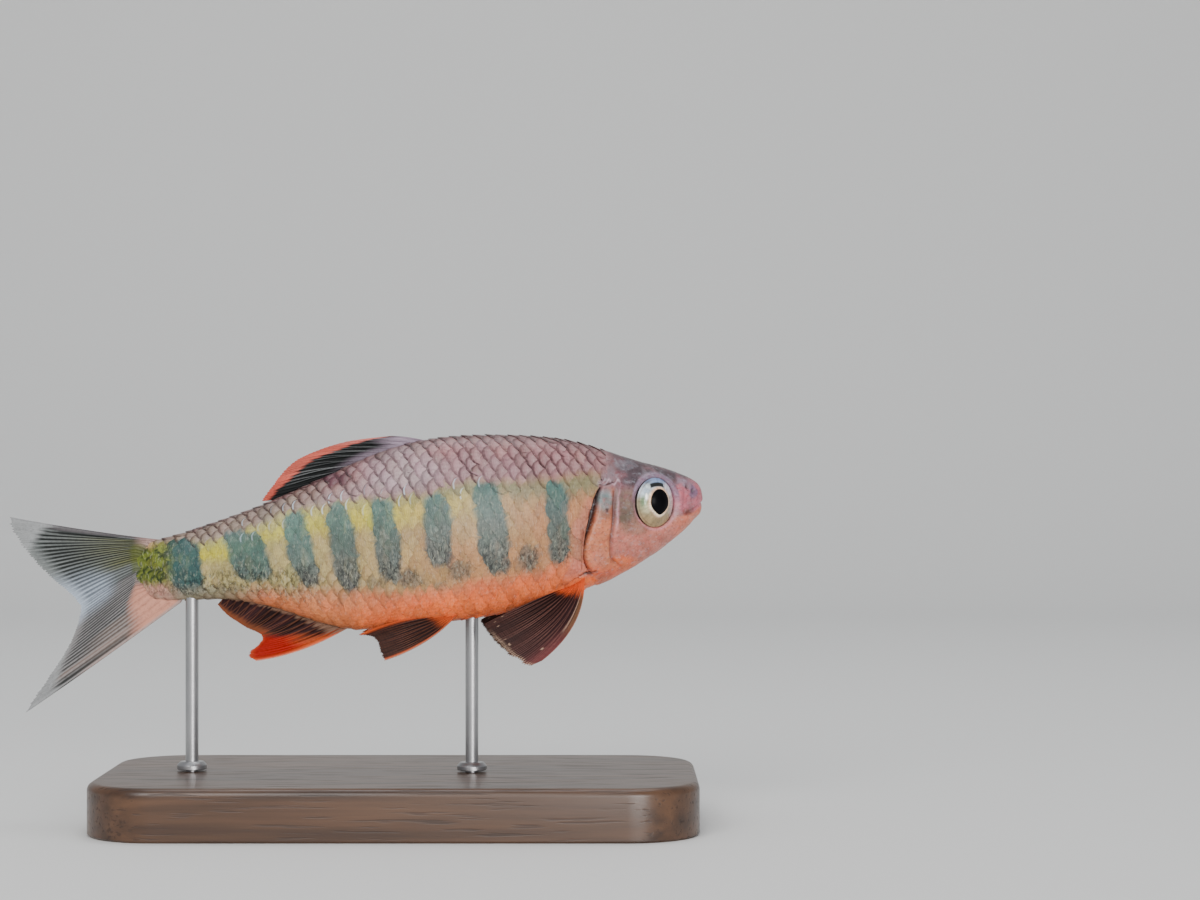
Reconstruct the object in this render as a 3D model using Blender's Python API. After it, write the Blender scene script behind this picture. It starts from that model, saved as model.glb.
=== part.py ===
"""A stream minnow, Barilius ardens, as a still life-size display model on a two-rod stand.

Metres, +Z up. The head points to +X, the origin is the centre of the stand's underside.
The body is worked out straight, along X, and every point is then bent sideways with the spine.
"""

import math
from dataclasses import dataclass

import bmesh
import bpy
import numpy as np

MM = 0.001

# The pose. The snout's place over the stand, and the sideways bend of the spine.
SNOUT_X = 46.7 * MM
SNOUT_Z = 50.0 * MM
BODY_LENGTH = 87.0 * MM
SPINE_SHIFT_Y = -1.5 * MM
HEAD_BEND_FROM = 3.0 * MM
TAIL_BEND_FROM = -12.0 * MM
HEAD_BEND = 5.1
TAIL_BEND = 3.5

# The body's stations, in millimetres: distance behind the snout, back above and belly below
# the snout's height, and half width.
STATIONS = np.array(
    [
        (0.0, 0.0, 0.0, 0.0),
        (0.5, 2.1, -1.9, 1.35),
        (1.7, 3.0, -3.3, 2.3),
        (4.8, 4.6, -6.6, 3.5),
        (8.6, 5.7, -9.4, 4.5),
        (14.1, 7.4, -12.5, 5.3),
        (19.7, 9.1, -14.8, 5.9),
        (27.2, 10.0, -16.9, 6.5),
        (38.3, 9.9, -18.7, 6.6),
        (46.7, 8.5, -19.5, 6.3),
        (54.6, 5.4, -20.0, 5.6),
        (65.3, 0.4, -16.9, 4.2),
        (77.4, -4.1, -15.5, 2.5),
        (83.0, -5.8, -15.7, 1.8),
        (87.0, -6.7, -15.1, 1.2),
    ]
) * MM
WIDEST_SHARE = 0.53
SECTION_POWER = 2.2
BODY_RINGS = 50
BODY_SIDES = 36

# Gaps between neighbouring solids.
GAP = 0.3 * MM
HALF_GAP = GAP / 2
# How far a cutter reaches past the body, and the heights between which it runs.
REACH = 14.0 * MM
CUT_HEIGHTS = (20.0 * MM, 64.0 * MM)

# The head ends at the gill opening: (height, x) of that edge in millimetres.
GILL_EDGE = np.array(
    [
        (34.0, 33.0),
        (38.0, 30.2),
        (40.0, 28.2),
        (43.0, 27.2),
        (47.0, 27.5),
        (51.0, 29.2),
        (54.0, 31.0),
        (62.0, 32.0),
    ]
) * MM
HEAD_CUT_ROWS = 23
STALK_X = -28.1 * MM

# The gill cover's plate.
COVER_FRONT_X = 32.2 * MM
COVER_TOP_Z = 52.4 * MM
COVER_BOTTOM_Z = 38.2 * MM
COVER_PROUD = 0.25 * MM
COVER_SUNK = 0.9 * MM
COVER_ROWS = 13
COVER_COLUMNS = 6
COVER_ROUND = (0.08, 0.92, 0.4)

# The mouth: its line runs from the snout's tip down and back to the corner.
MOUTH_FRONT = (48.2 * MM, 50.66 * MM)
MOUTH_CORNER = (43.3 * MM, 47.2 * MM)
JAW_HINGE = (40.2 * MM, 41.4 * MM)
CHIN_Z = 36.0 * MM
LIP_RADIUS = 0.5 * MM
LIP_SHARES = (0.08, 0.6)
LIP_POINTS = 7
LIP_END = 0.5
LIP_SUNK = 0.15 * MM
LIP_FRONT_X = SNOUT_X - 0.25 * MM
UPPER_LIP_RISE = 0.55 * MM
LOWER_LIP_DROP = 0.65 * MM

# Edges that turn by more than this stay sharp in the shading.
SHARP_ANGLE = math.radians(35)

# Eyes, pupils and nostrils.
EYE_X = 38.6 * MM
EYE_Z = 49.7 * MM
EYE_RADIUS = 4.0 * MM
EYE_HALF_DEPTH = 2.1 * MM
EYE_SUNK = 1.45 * MM
EYE_FORWARD_DEG = 11.0
PUPIL_HALF_WIDTH = 1.35 * MM
PUPIL_HALF_HEIGHT = 1.85 * MM
PUPIL_HALF_DEPTH = 0.6 * MM
PUPIL_PROUD = 0.2 * MM
PUPIL_GAP = 0.2 * MM
NOSTRIL_FRONT = (43.6 * MM, 51.7 * MM)
NOSTRIL_REAR = (42.4 * MM, 52.1 * MM)
NOSTRIL_RADIUS = 0.45 * MM

# Fins: membrane and ray thickness at the root and at the tip.
MEMBRANE = 0.5 * MM
MEMBRANE_TIP = 0.36 * MM
RAY_RISE = 0.5 * MM
RAY_RISE_TIP = 0.16 * MM
RAY_FADE = 0.12
MARGIN_NOTCH = 0.02


@dataclass(frozen=True)
class FinPlan:
    """A fin's outline in millimetres, from its first ray, share 0, to its last, share 1.

    Rows are share, x, y, z of the straight body, for the fish's -Y side. The bow is the push
    at the middle of each ray, and lean the direction of the fin's thickness.
    """

    rays: int
    margin: tuple
    bow: tuple
    root: tuple = ()
    lean: tuple = (0.0, 1.0, 0.0)
    steps: int = 7


DORSAL = FinPlan(
    rays=11,
    margin=(
        (0.0, -8.5, 0.0, 58.9),
        (0.25, -11.6, 0.3, 57.9),
        (0.5, -15.5, 0.6, 56.2),
        (0.75, -18.8, 0.9, 53.6),
        (0.9, -20.9, 1.0, 51.3),
        (1.0, -22.1, 1.0, 50.0),
    ),
    bow=((0.0, 0.0, 0.0, 1.0), (0.4, 0.0, 0.1, 0.5), (1.0, 0.0, 0.2, 0.25)),
)
DORSAL_ROOT_X = (1.6 * MM, -15.3 * MM)

ANAL = FinPlan(
    rays=15,
    margin=(
        (0.0, -22.9, 0.8, 25.4),
        (0.1, -22.5, 0.7, 26.4),
        (0.2, -21.9, 0.6, 27.6),
        (0.35, -21.0, 0.4, 28.9),
        (0.5, -22.0, 0.2, 30.0),
        (0.7, -24.4, 0.2, 31.2),
        (0.85, -26.5, 0.1, 32.5),
        (1.0, -28.3, 0.0, 33.9),
    ),
    bow=((0.0, 0.0, 0.3, -0.9), (0.3, 0.0, 0.2, -0.4), (1.0, 0.0, 0.0, 0.0)),
)
ANAL_ROOT_X = (-7.7 * MM, -27.2 * MM)

CAUDAL_UPPER = FinPlan(
    rays=11,
    root=(
        (0.0, -36.6, 0.0, 44.75),
        (0.22, -39.2, 0.0, 44.5),
        (0.4, -40.75, 0.0, 43.2),
        (0.6, -40.75, 0.0, 41.8),
        (1.0, -40.75, 0.0, 38.95),
    ),
    margin=(
        (0.0, -62.4, 0.0, 47.4),
        (0.14, -61.0, 0.0, 44.6),
        (0.26, -58.7, 0.1, 42.6),
        (0.45, -55.9, 0.2, 39.6),
        (0.7, -52.4, 0.3, 36.9),
        (0.86, -50.4, 0.4, 35.5),
        (1.0, -49.2, 0.4, 34.45),
    ),
    bow=((0.0, 0.0, 0.0, -0.45), (0.5, 0.0, 0.2, 0.3), (1.0, 0.0, 0.1, 0.2)),
    steps=8,
)
CAUDAL_LOWER = FinPlan(
    rays=11,
    root=(
        (0.0, -34.4, 0.0, 33.7),
        (0.22, -38.4, 0.0, 33.9),
        (0.4, -40.75, 0.0, 34.9),
        (0.6, -40.75, 0.0, 36.3),
        (1.0, -40.75, 0.0, 38.55),
    ),
    margin=(
        (0.0, -59.6, 0.0, 16.2),
        (0.1, -57.6, 0.0, 19.0),
        (0.25, -54.7, 0.1, 22.7),
        (0.45, -51.9, 0.2, 26.2),
        (0.65, -50.2, 0.3, 29.3),
        (0.85, -49.3, 0.4, 32.3),
        (1.0, -49.2, 0.4, 34.0),
    ),
    bow=((0.0, -0.4, 0.0, -0.9), (0.5, 0.0, 0.2, 0.0), (1.0, 0.0, 0.1, 0.2)),
    steps=8,
)

PECTORAL = FinPlan(
    rays=13,
    margin=(
        (0.0, 18.6, -9.8, 24.9),
        (0.18, 17.0, -9.4, 26.0),
        (0.45, 15.2, -8.5, 27.7),
        (0.75, 13.6, -7.0, 29.6),
        (1.0, 12.6, -5.2, 31.0),
    ),
    bow=((0.0, 2.0, -0.5, -0.6), (0.5, 0.9, -0.9, -0.4), (1.0, 0.0, -0.5, -0.2)),
    lean=(0.25, -1.0, 0.45),
)
PECTORAL_ROOT = ((27.7 * MM, 37.6 * MM), (25.4 * MM, 36.3 * MM))

PELVIC = FinPlan(
    rays=9,
    margin=(
        (0.0, -2.0, -6.2, 25.6),
        (0.3, -2.6, -5.9, 27.2),
        (0.6, -3.1, -5.1, 28.5),
        (0.82, -4.3, -4.1, 29.0),
        (1.0, -6.3, -3.2, 28.8),
    ),
    bow=((0.0, 0.5, -0.4, -0.8), (0.5, 0.2, -0.5, -0.3), (1.0, 0.0, -0.3, -0.3)),
    lean=(0.1, -1.0, 0.5),
    steps=6,
)
PELVIC_ROOT = ((8.9 * MM, 32.1 * MM), (6.7 * MM, 31.7 * MM))

# The stand.
BASE_LENGTH = 92.0 * MM
BASE_WIDTH = 48.0 * MM
BASE_HEIGHT = 8.0 * MM
BASE_CORNER = 11.0 * MM
BASE_CHAMFER = 1.2 * MM
ROD_RADIUS = 1.0 * MM
ROD_SINK = 4.0 * MM
ROD_IN_BODY = 2.4 * MM
COLLAR_RADIUS = 2.3 * MM
COLLAR_HEIGHT = 1.2 * MM
COLLAR_WALL = 0.7 * MM
COLLAR_TOP_RADIUS = 1.85 * MM
ROD_TIP_RADIUS = 0.6 * MM
ROD_TIP_HEIGHT = 0.4 * MM
ROD_X = {"stand_rod_front": 11.2 * MM, "stand_rod_rear": -32.2 * MM}


def spline(knots, values):
    """Natural cubic spline through the values at the knots, as a function of an array."""
    x = np.asarray(knots, float)
    y = np.asarray(values, float)
    step = np.diff(x)
    slope = (np.diff(y, axis=0).T / step).T
    count = len(x)
    matrix = np.eye(count)
    right = np.zeros_like(y)
    for i in range(1, count - 1):
        matrix[i, i - 1 : i + 2] = step[i - 1], 2 * (step[i - 1] + step[i]), step[i]
        right[i] = 6 * (slope[i] - slope[i - 1])
    bend = np.linalg.solve(matrix, right)

    def at(where):
        where = np.clip(np.asarray(where, float), x[0], x[-1])
        i = np.clip(np.searchsorted(x, where) - 1, 0, count - 2)
        wide = step[i]
        before = where - x[i]
        after = x[i + 1] - where
        if y.ndim > 1:
            wide, before, after = wide[..., None], before[..., None], after[..., None]
        ends = bend[i] * after**3 / (6 * wide) + bend[i + 1] * before**3 / (6 * wide)
        near = (y[i] / wide - bend[i] * wide / 6) * after
        far = (y[i + 1] / wide - bend[i + 1] * wide / 6) * before
        return ends + near + far

    return at


# The profile runs in the square root of the distance, so that the snout comes out round.
PROFILE = spline(np.sqrt(STATIONS[:, 0] / BODY_LENGTH), STATIONS[:, 1:])
GILL_EDGE_X = spline(GILL_EDGE[:, 0], GILL_EDGE[:, 1])


def sizes_at(x):
    """Back height, belly height and half width of the straight body at x."""
    behind = np.clip((SNOUT_X - np.asarray(x, float)) / BODY_LENGTH, 0.0, 1.0)
    found = PROFILE(np.sqrt(behind))
    return SNOUT_Z + found[..., 0], SNOUT_Z + found[..., 1], np.maximum(found[..., 2], 0.0)


def section(x, angle):
    """Point of the straight body's surface. Angle 0 is the back, a quarter turn the -Y side."""
    back, belly, half = sizes_at(x)
    middle = belly + WIDEST_SHARE * (back - belly)
    up = np.cos(angle)
    out = np.sin(angle)
    power = 2 / SECTION_POWER
    rise = np.where(up > 0, back - middle, middle - belly)
    z = middle + rise * np.sign(up) * np.abs(up) ** power
    y = -half * np.sign(out) * np.abs(out) ** power
    return np.stack(np.broadcast_arrays(x, y, z), axis=-1)


def side_point(x, z, side, off=0.0):
    """Point on the straight body's flank at x and height z, moved out by off. Side is -1 or 1."""
    x, z = np.broadcast_arrays(np.asarray(x, float), np.asarray(z, float))
    back, belly, half = sizes_at(x)
    middle = belly + WIDEST_SHARE * (back - belly)
    rise = np.where(z > middle, back - middle, middle - belly)
    level = np.clip(np.abs(z - middle) / rise, 0.0, 0.995)
    y = half * (1 - level**SECTION_POWER) ** (1 / SECTION_POWER)
    # The outward normal of the section's superellipse, in the plane of the section.
    n_y = (y / half) ** (SECTION_POWER - 1) / half
    n_z = np.sign(z - middle) * level ** (SECTION_POWER - 1) / rise
    size = np.hypot(n_y, n_z)
    return np.stack([x, side * (y + off * n_y / size), z + off * n_z / size], axis=-1)


def spine_at(x):
    """The bent spine's sideways place and its turn at x."""
    ahead = np.maximum(x - HEAD_BEND_FROM, 0.0)
    behind = np.maximum(TAIL_BEND_FROM - x, 0.0)
    spine_y = SPINE_SHIFT_Y + HEAD_BEND * ahead**2 + TAIL_BEND * behind**2
    return spine_y, np.arctan(2 * HEAD_BEND * ahead - 2 * TAIL_BEND * behind)


def bend(points):
    """Carries straight points to the bent spine: a cross-section turns with the spine's line."""
    points = np.asarray(points, float)
    x, y, z = points[..., 0], points[..., 1], points[..., 2]
    spine_y, turn = spine_at(x)
    return np.stack([x - y * np.sin(turn), spine_y + y * np.cos(turn), z], axis=-1)


def turned_axes(x, axes):
    """Unit rows of the straight body, turned with the spine at x."""
    turn = float(spine_at(x)[1])
    cos, sin = math.cos(turn), math.sin(turn)
    return np.asarray(axes, float) @ np.array([(cos, sin, 0), (-sin, cos, 0), (0, 0, 1)])


def new_object(name, points, faces):
    """A mesh object from points and faces, with its normals made to point outwards."""
    mesh = bpy.data.meshes.new(name)
    mesh.from_pydata([tuple(p) for p in np.asarray(points).reshape(-1, 3)], [], faces)
    work = bmesh.new()
    work.from_mesh(mesh)
    bmesh.ops.recalc_face_normals(work, faces=work.faces)
    work.to_mesh(mesh)
    work.free()
    made = bpy.data.objects.new(name, mesh)
    bpy.context.scene.collection.objects.link(made)
    return made


def combine(target, tool, operation):
    """Applies one exact Boolean of the tool to the target and removes the tool."""
    modifier = target.modifiers.new("combine", "BOOLEAN")
    modifier.operation = operation
    modifier.solver = "EXACT"
    modifier.object = tool
    graph = bpy.context.evaluated_depsgraph_get()
    mesh = bpy.data.meshes.new_from_object(target.evaluated_get(graph))
    target.modifiers.clear()
    target.data = mesh
    bpy.data.objects.remove(tool)
    return target


def copy_of(source, name):
    """A separate object with its own copy of the mesh."""
    made = bpy.data.objects.new(name, source.data.copy())
    bpy.context.scene.collection.objects.link(made)
    return made


def body_blank():
    """The whole straight body from snout to tail fin root, closed, then bent with the spine."""
    share = np.linspace(0, 1, BODY_RINGS + 1)[1:]
    x = SNOUT_X - BODY_LENGTH * share**2
    angle = np.linspace(0, 2 * math.pi, BODY_SIDES, endpoint=False)
    rings = section(x[:, None], angle[None, :])
    tip = np.array([[SNOUT_X, 0.0, SNOUT_Z]])
    tail = rings[-1].mean(axis=0, keepdims=True)
    points = np.concatenate([rings.reshape(-1, 3), tip, tail])
    tip_at = BODY_RINGS * BODY_SIDES
    faces = []
    for j in range(BODY_SIDES):
        k = (j + 1) % BODY_SIDES
        faces.append((tip_at, j, k))
        for i in range(BODY_RINGS - 1):
            low, high = i * BODY_SIDES, (i + 1) * BODY_SIDES
            faces.append((low + j, high + j, high + k, low + k))
        last = (BODY_RINGS - 1) * BODY_SIDES
        faces.append((last + j, tip_at + 1, last + k))
    return new_object("body_blank", bend(points), faces)


def side_prism(name, heights, rear_x, front_x):
    """A block across the body between two side-view edges, given at the same heights."""
    count = len(heights)
    corners = []
    for z, rear, front in zip(heights, rear_x, front_x):
        corners += [(rear, -REACH, z), (front, -REACH, z), (front, REACH, z), (rear, REACH, z)]
    faces = [(0, 1, 2, 3), tuple(4 * count - 4 + i for i in range(4))]
    for level in range(count - 1):
        low, high = 4 * level, 4 * level + 4
        for i in range(4):
            j = (i + 1) % 4
            faces.append((low + i, low + j, high + j))
            faces.append((low + i, high + j, high + i))
    return new_object(name, bend(corners), faces)


def head_block(offset):
    """The block that holds all in front of the gill opening, its edge moved forward by offset."""
    heights = np.linspace(*CUT_HEIGHTS, HEAD_CUT_ROWS)
    rear = GILL_EDGE_X(heights) + offset
    return side_prism("head_block", heights, rear, np.full(len(heights), SNOUT_X + REACH))


def stalk_block(offset):
    """The block behind the anal fin, its front face moved back by offset."""
    front = STALK_X - offset
    return side_prism("stalk_block", CUT_HEIGHTS, [front - 3 * REACH] * 2, [front] * 2)


def jaw_block(offset):
    """The block below the mouth's line and in front of the jaw's hinge, shrunk by offset."""
    heights = [CHIN_Z, JAW_HINGE[1], MOUTH_CORNER[1] - offset, MOUTH_FRONT[1] - offset]
    rear = [JAW_HINGE[0], JAW_HINGE[0], MOUTH_CORNER[0], MOUTH_FRONT[0]]
    front = [SNOUT_X + REACH] * len(rear)
    return side_prism("jaw_block", heights, [x + offset for x in rear], front)


def grid_solid(name, upper, lower):
    """A closed plate between two equal grids of points, split alike on both faces."""
    rows, columns = upper.shape[:2]
    points = np.concatenate([upper.reshape(-1, 3), lower.reshape(-1, 3)])
    shift = rows * columns
    faces = []
    for i in range(rows - 1):
        for j in range(columns - 1):
            a, b = i * columns + j, (i + 1) * columns + j
            faces += [(a, b, b + 1), (a, b + 1, a + 1)]
            faces += [(a + shift, b + 1 + shift, b + shift), (a + shift, a + 1 + shift, b + 1 + shift)]
    rim = [(0, j) for j in range(columns)] + [(i, columns - 1) for i in range(1, rows)]
    rim += [(rows - 1, j) for j in range(columns - 2, -1, -1)]
    rim += [(i, 0) for i in range(rows - 2, 0, -1)]
    ids = [i * columns + j for i, j in rim]
    for a, b in zip(ids, ids[1:] + ids[:1]):
        faces += [(a, a + shift, b + shift), (a, b + shift, b)]
    return new_object(name, bend(points), faces)


def gill_cover(name, side, grow):
    """A curved plate on the flank, from the cheek's groove to the gill opening."""
    low_end, high_end, roundness = COVER_ROUND
    heights = np.linspace(COVER_TOP_Z + grow, COVER_BOTTOM_Z - grow, COVER_ROWS)[:, None]
    rear = GILL_EDGE_X(heights) + HALF_GAP
    level = np.clip((COVER_TOP_Z - heights) / (COVER_TOP_Z - COVER_BOTTOM_Z), low_end, high_end)
    front = rear + (COVER_FRONT_X - rear) * np.sin(level * math.pi) ** roundness + grow
    # The cutter that makes the seat is the same plate, grown most where the opening is.
    rear = rear - 4 * grow
    x = front + (rear - front) * np.linspace(0, 1, COVER_COLUMNS)[None, :]
    outer = side_point(x, heights, side, COVER_PROUD + 2 * grow)
    inner = side_point(x, heights, side, -COVER_SUNK - grow)
    return grid_solid(name, outer, inner)


def ball(name, centre, axes, radii, rings=10, sides=20):
    """An ellipsoid: centre and axes, unit rows, are the straight body's, radii its half sizes."""
    polar = np.linspace(0, math.pi, rings + 1)[1:-1][:, None]
    around = np.linspace(0, 2 * math.pi, sides, endpoint=False)[None, :]
    local = np.stack(
        np.broadcast_arrays(
            np.sin(polar) * np.cos(around), np.sin(polar) * np.sin(around), np.cos(polar)
        ),
        axis=-1,
    ).reshape(-1, 3)
    local = np.concatenate([local, [(0, 0, 1), (0, 0, -1)]])
    points = bend(centre) + (local * np.asarray(radii)) @ turned_axes(centre[0], axes)
    north = (rings - 1) * sides
    faces = []
    for j in range(sides):
        k = (j + 1) % sides
        faces.append((north, j, k))
        faces.append((north + 1, north - sides + k, north - sides + j))
        for i in range(rings - 2):
            low, high = i * sides, (i + 1) * sides
            faces.append((low + j, high + j, high + k, low + k))
    return new_object(name, points, faces)


def eye_frame(side):
    """The eye's centre, and its forward, upward and outward axes in the straight body."""
    turn = math.radians(EYE_FORWARD_DEG)
    outward = np.array([math.sin(turn), side * math.cos(turn), 0.0])
    forward = np.array([math.cos(turn), -side * math.sin(turn), 0.0])
    centre = side_point(EYE_X, EYE_Z, side) - outward * EYE_SUNK
    return centre, np.array([forward, (0.0, 0.0, 1.0), outward])


def eye_ball(name, side, grow=0.0):
    """The eyeball, a flat ellipsoid that faces out and a little forward."""
    centre, axes = eye_frame(side)
    radii = [EYE_RADIUS + grow, EYE_RADIUS + grow, EYE_HALF_DEPTH + grow]
    return ball(name, centre, axes, radii, rings=12, sides=28)


def pupil(name, side, grow=0.0):
    """The dark lens in the middle of the eye."""
    centre, axes = eye_frame(side)
    middle = centre + axes[2] * (EYE_HALF_DEPTH + PUPIL_PROUD - PUPIL_HALF_DEPTH)
    radii = [PUPIL_HALF_WIDTH + grow, PUPIL_HALF_HEIGHT + grow, PUPIL_HALF_DEPTH + grow]
    return ball(name, middle, axes, radii, rings=8, sides=16)


def nostril_pit(place, side):
    """A small pit in the snout."""
    centre = side_point(place[0], place[1], side)
    return ball("nostril_pit", centre, np.eye(3), [NOSTRIL_RADIUS] * 3, rings=6, sides=10)


def lip(name, rise):
    """A rolled lip along the mouth's line, from one corner round the snout to the other."""
    share = np.linspace(*LIP_SHARES, LIP_POINTS)
    x = MOUTH_CORNER[0] + (MOUTH_FRONT[0] - MOUTH_CORNER[0]) * share
    z = MOUTH_CORNER[1] + (MOUTH_FRONT[1] - MOUTH_CORNER[1]) * share + rise
    right = side_point(x, z, -1, -LIP_SUNK)
    front = np.array([[LIP_FRONT_X, 0.0, z[-1] + (z[-1] - z[-2]) / 2]])
    path = np.concatenate([right, front, right[::-1] * (1, -1, 1)])
    taper = np.linspace(LIP_END, 1, LIP_POINTS)
    radii = LIP_RADIUS * np.concatenate([taper, [1.0], taper[::-1]])
    return tube(name, bend(path), radii, sides=8)


def tube(name, path, radii, sides):
    """A round tube along a path, closed at both ends."""
    along = np.gradient(path, axis=0)
    along /= np.linalg.norm(along, axis=1, keepdims=True)
    across = np.cross(along, (0.0, 0.0, 1.0))
    across /= np.linalg.norm(across, axis=1, keepdims=True)
    up = np.cross(across, along)
    angle = np.linspace(0, 2 * math.pi, sides, endpoint=False)
    cos, sin = np.cos(angle)[None, :, None], np.sin(angle)[None, :, None]
    ring = across[:, None] * cos + up[:, None] * sin
    points = (path[:, None] + ring * radii[:, None, None]).reshape(-1, 3)
    faces = [tuple(range(sides)), tuple(range(len(points) - sides, len(points)))]
    for i in range(len(path) - 1):
        for j in range(sides):
            k = (j + 1) % sides
            faces.append((i * sides + j, i * sides + k, (i + 1) * sides + k, (i + 1) * sides + j))
    return new_object(name, points, faces)


def curve(rows, side=-1):
    """A smooth curve through rows of share, x, y, z in millimetres, turned over for side 1."""
    rows = np.array(rows, float)
    return spline(rows[:, 0], rows[:, 1:] * MM * (1, -side, 1))


def fin(name, plan, root, side=-1):
    """A fin whose rays run from the root curve to the margin as ridges on the membrane."""
    columns = 2 * plan.rays - 1
    share = np.linspace(0, 1, columns)
    on_ray = (np.arange(columns) % 2 == 0)[:, None]
    run = np.linspace(0, 1, plan.steps + 1)[None, :]
    start = root(share)[:, None, :]
    end = curve(plan.margin, side)(share)[:, None, :]
    reach = run * (1 - MARGIN_NOTCH * ~on_ray * run**2)
    arch = (4 * reach * (1 - reach))[..., None]
    middle = start + (end - start) * reach[..., None] + curve(plan.bow, side)(share)[:, None, :] * arch
    rise = (RAY_RISE + (RAY_RISE_TIP - RAY_RISE) * run) * np.minimum(run / RAY_FADE, 1.0)
    thick = MEMBRANE + (MEMBRANE_TIP - MEMBRANE) * run + on_ray * rise
    lean = np.array(plan.lean) * (1, -side, 1)
    shift = lean / np.linalg.norm(lean) * (thick / 2)[..., None]
    return grid_solid(name, middle + shift, middle - shift)


def ridge_root(ends_x, edge, off):
    """The root curve of a fin on the body's back line, edge 0, or belly line, edge 1."""

    def at(share):
        x = ends_x[0] + (ends_x[1] - ends_x[0]) * share
        return np.stack([x, np.zeros_like(x), sizes_at(x)[edge] + off], axis=-1)

    return at


def flank_root(places, side):
    """The short root of a paired fin, which just clears the flank."""
    off = GAP + MEMBRANE / 2
    first, last = (side_point(x, z, side, off) for x, z in places)

    def at(share):
        return first + (last - first) * share[:, None]

    return at


def middle_fins():
    """The back fin, the anal fin and the two lobes of the forked tail fin."""
    return [
        fin("dorsal_fin", DORSAL, ridge_root(DORSAL_ROOT_X, 0, GAP)),
        fin("anal_fin", ANAL, ridge_root(ANAL_ROOT_X, 1, -GAP)),
        fin("caudal_fin_upper", CAUDAL_UPPER, curve(CAUDAL_UPPER.root)),
        fin("caudal_fin_lower", CAUDAL_LOWER, curve(CAUDAL_LOWER.root)),
    ]


def paired_fins(side_name, side):
    """The pectoral fin behind the gill opening and the pelvic fin under the belly."""
    return [
        fin("pectoral_fin_" + side_name, PECTORAL, flank_root(PECTORAL_ROOT, side), side),
        fin("pelvic_fin_" + side_name, PELVIC, flank_root(PELVIC_ROOT, side), side),
    ]


def turned(name, centre_x, centre_y, profile, sides=20):
    """A turned piece on a vertical axis: profile rows are radius and height, bottom to top."""
    angle = np.linspace(0, 2 * math.pi, sides, endpoint=False)
    radius, z = np.array(profile).T[..., None]
    x = centre_x + radius * np.cos(angle)
    y = centre_y + radius * np.sin(angle)
    points = np.stack(np.broadcast_arrays(x, y, z), axis=-1).reshape(-1, 3)
    faces = [tuple(range(sides)), tuple(range(len(points) - sides, len(points)))]
    for i in range(len(profile) - 1):
        for j in range(sides):
            k = (j + 1) % sides
            faces.append((i * sides + j, i * sides + k, (i + 1) * sides + k, (i + 1) * sides + j))
    return new_object(name, points, faces)


def rod_place(name):
    """Where a rod stands, and the height at which it meets the belly."""
    x = ROD_X[name]
    belly = float(sizes_at(x)[1])
    place = bend((x, 0.0, belly))
    return float(place[0]), float(place[1]), belly


def rod(name):
    """A rod with a collar on the base, its foot in the base and its top in the body."""
    x, y, belly = rod_place(name)
    seat = BASE_HEIGHT + GAP
    top = belly + ROD_IN_BODY
    profile = [
        (ROD_RADIUS, BASE_HEIGHT - ROD_SINK),
        (ROD_RADIUS, seat),
        (COLLAR_RADIUS, seat),
        (COLLAR_RADIUS, seat + COLLAR_WALL),
        (COLLAR_TOP_RADIUS, seat + COLLAR_HEIGHT),
        (ROD_RADIUS, seat + COLLAR_HEIGHT),
        (ROD_RADIUS, top - ROD_TIP_HEIGHT),
        (ROD_TIP_RADIUS, top),
    ]
    return turned(name, x, y, profile)


def rod_hole(name, low, high):
    """The cutter of a rod's hole, GAP wider than the rod."""
    x, y, _ = rod_place(name)
    radius = ROD_RADIUS + GAP
    return turned("rod_hole", x, y, [(radius, low), (radius, high)])


def drill(body, name):
    """Makes the hole in the belly for the rod's top."""
    top = rod_place(name)[2] + ROD_IN_BODY + GAP
    combine(body, rod_hole(name, 0.0, top), "DIFFERENCE")


def stand_base():
    """A flat plate with round corners, a chamfered upper edge and two rod holes."""
    work = bmesh.new()
    bmesh.ops.create_cube(work, size=1.0)
    bmesh.ops.scale(work, vec=(BASE_LENGTH, BASE_WIDTH, BASE_HEIGHT), verts=work.verts)
    bmesh.ops.translate(work, vec=(0, 0, BASE_HEIGHT / 2), verts=work.verts)
    middle = BASE_HEIGHT / 2
    upright = [e for e in work.edges if (e.verts[0].co.z > middle) != (e.verts[1].co.z > middle)]
    bmesh.ops.bevel(work, geom=upright, offset=BASE_CORNER, segments=8, profile=0.5, affect="EDGES")
    rim = [e for e in work.edges if all(v.co.z > middle for v in e.verts)]
    bmesh.ops.bevel(work, geom=rim, offset=BASE_CHAMFER, segments=2, profile=0.6, affect="EDGES")
    mesh = bpy.data.meshes.new("stand_base")
    work.to_mesh(mesh)
    work.free()
    base = bpy.data.objects.new("stand_base", mesh)
    bpy.context.scene.collection.objects.link(base)
    for name in ROD_X:
        floor = BASE_HEIGHT - ROD_SINK - GAP
        combine(base, rod_hole(name, floor, BASE_HEIGHT + REACH), "DIFFERENCE")
    return base


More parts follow.
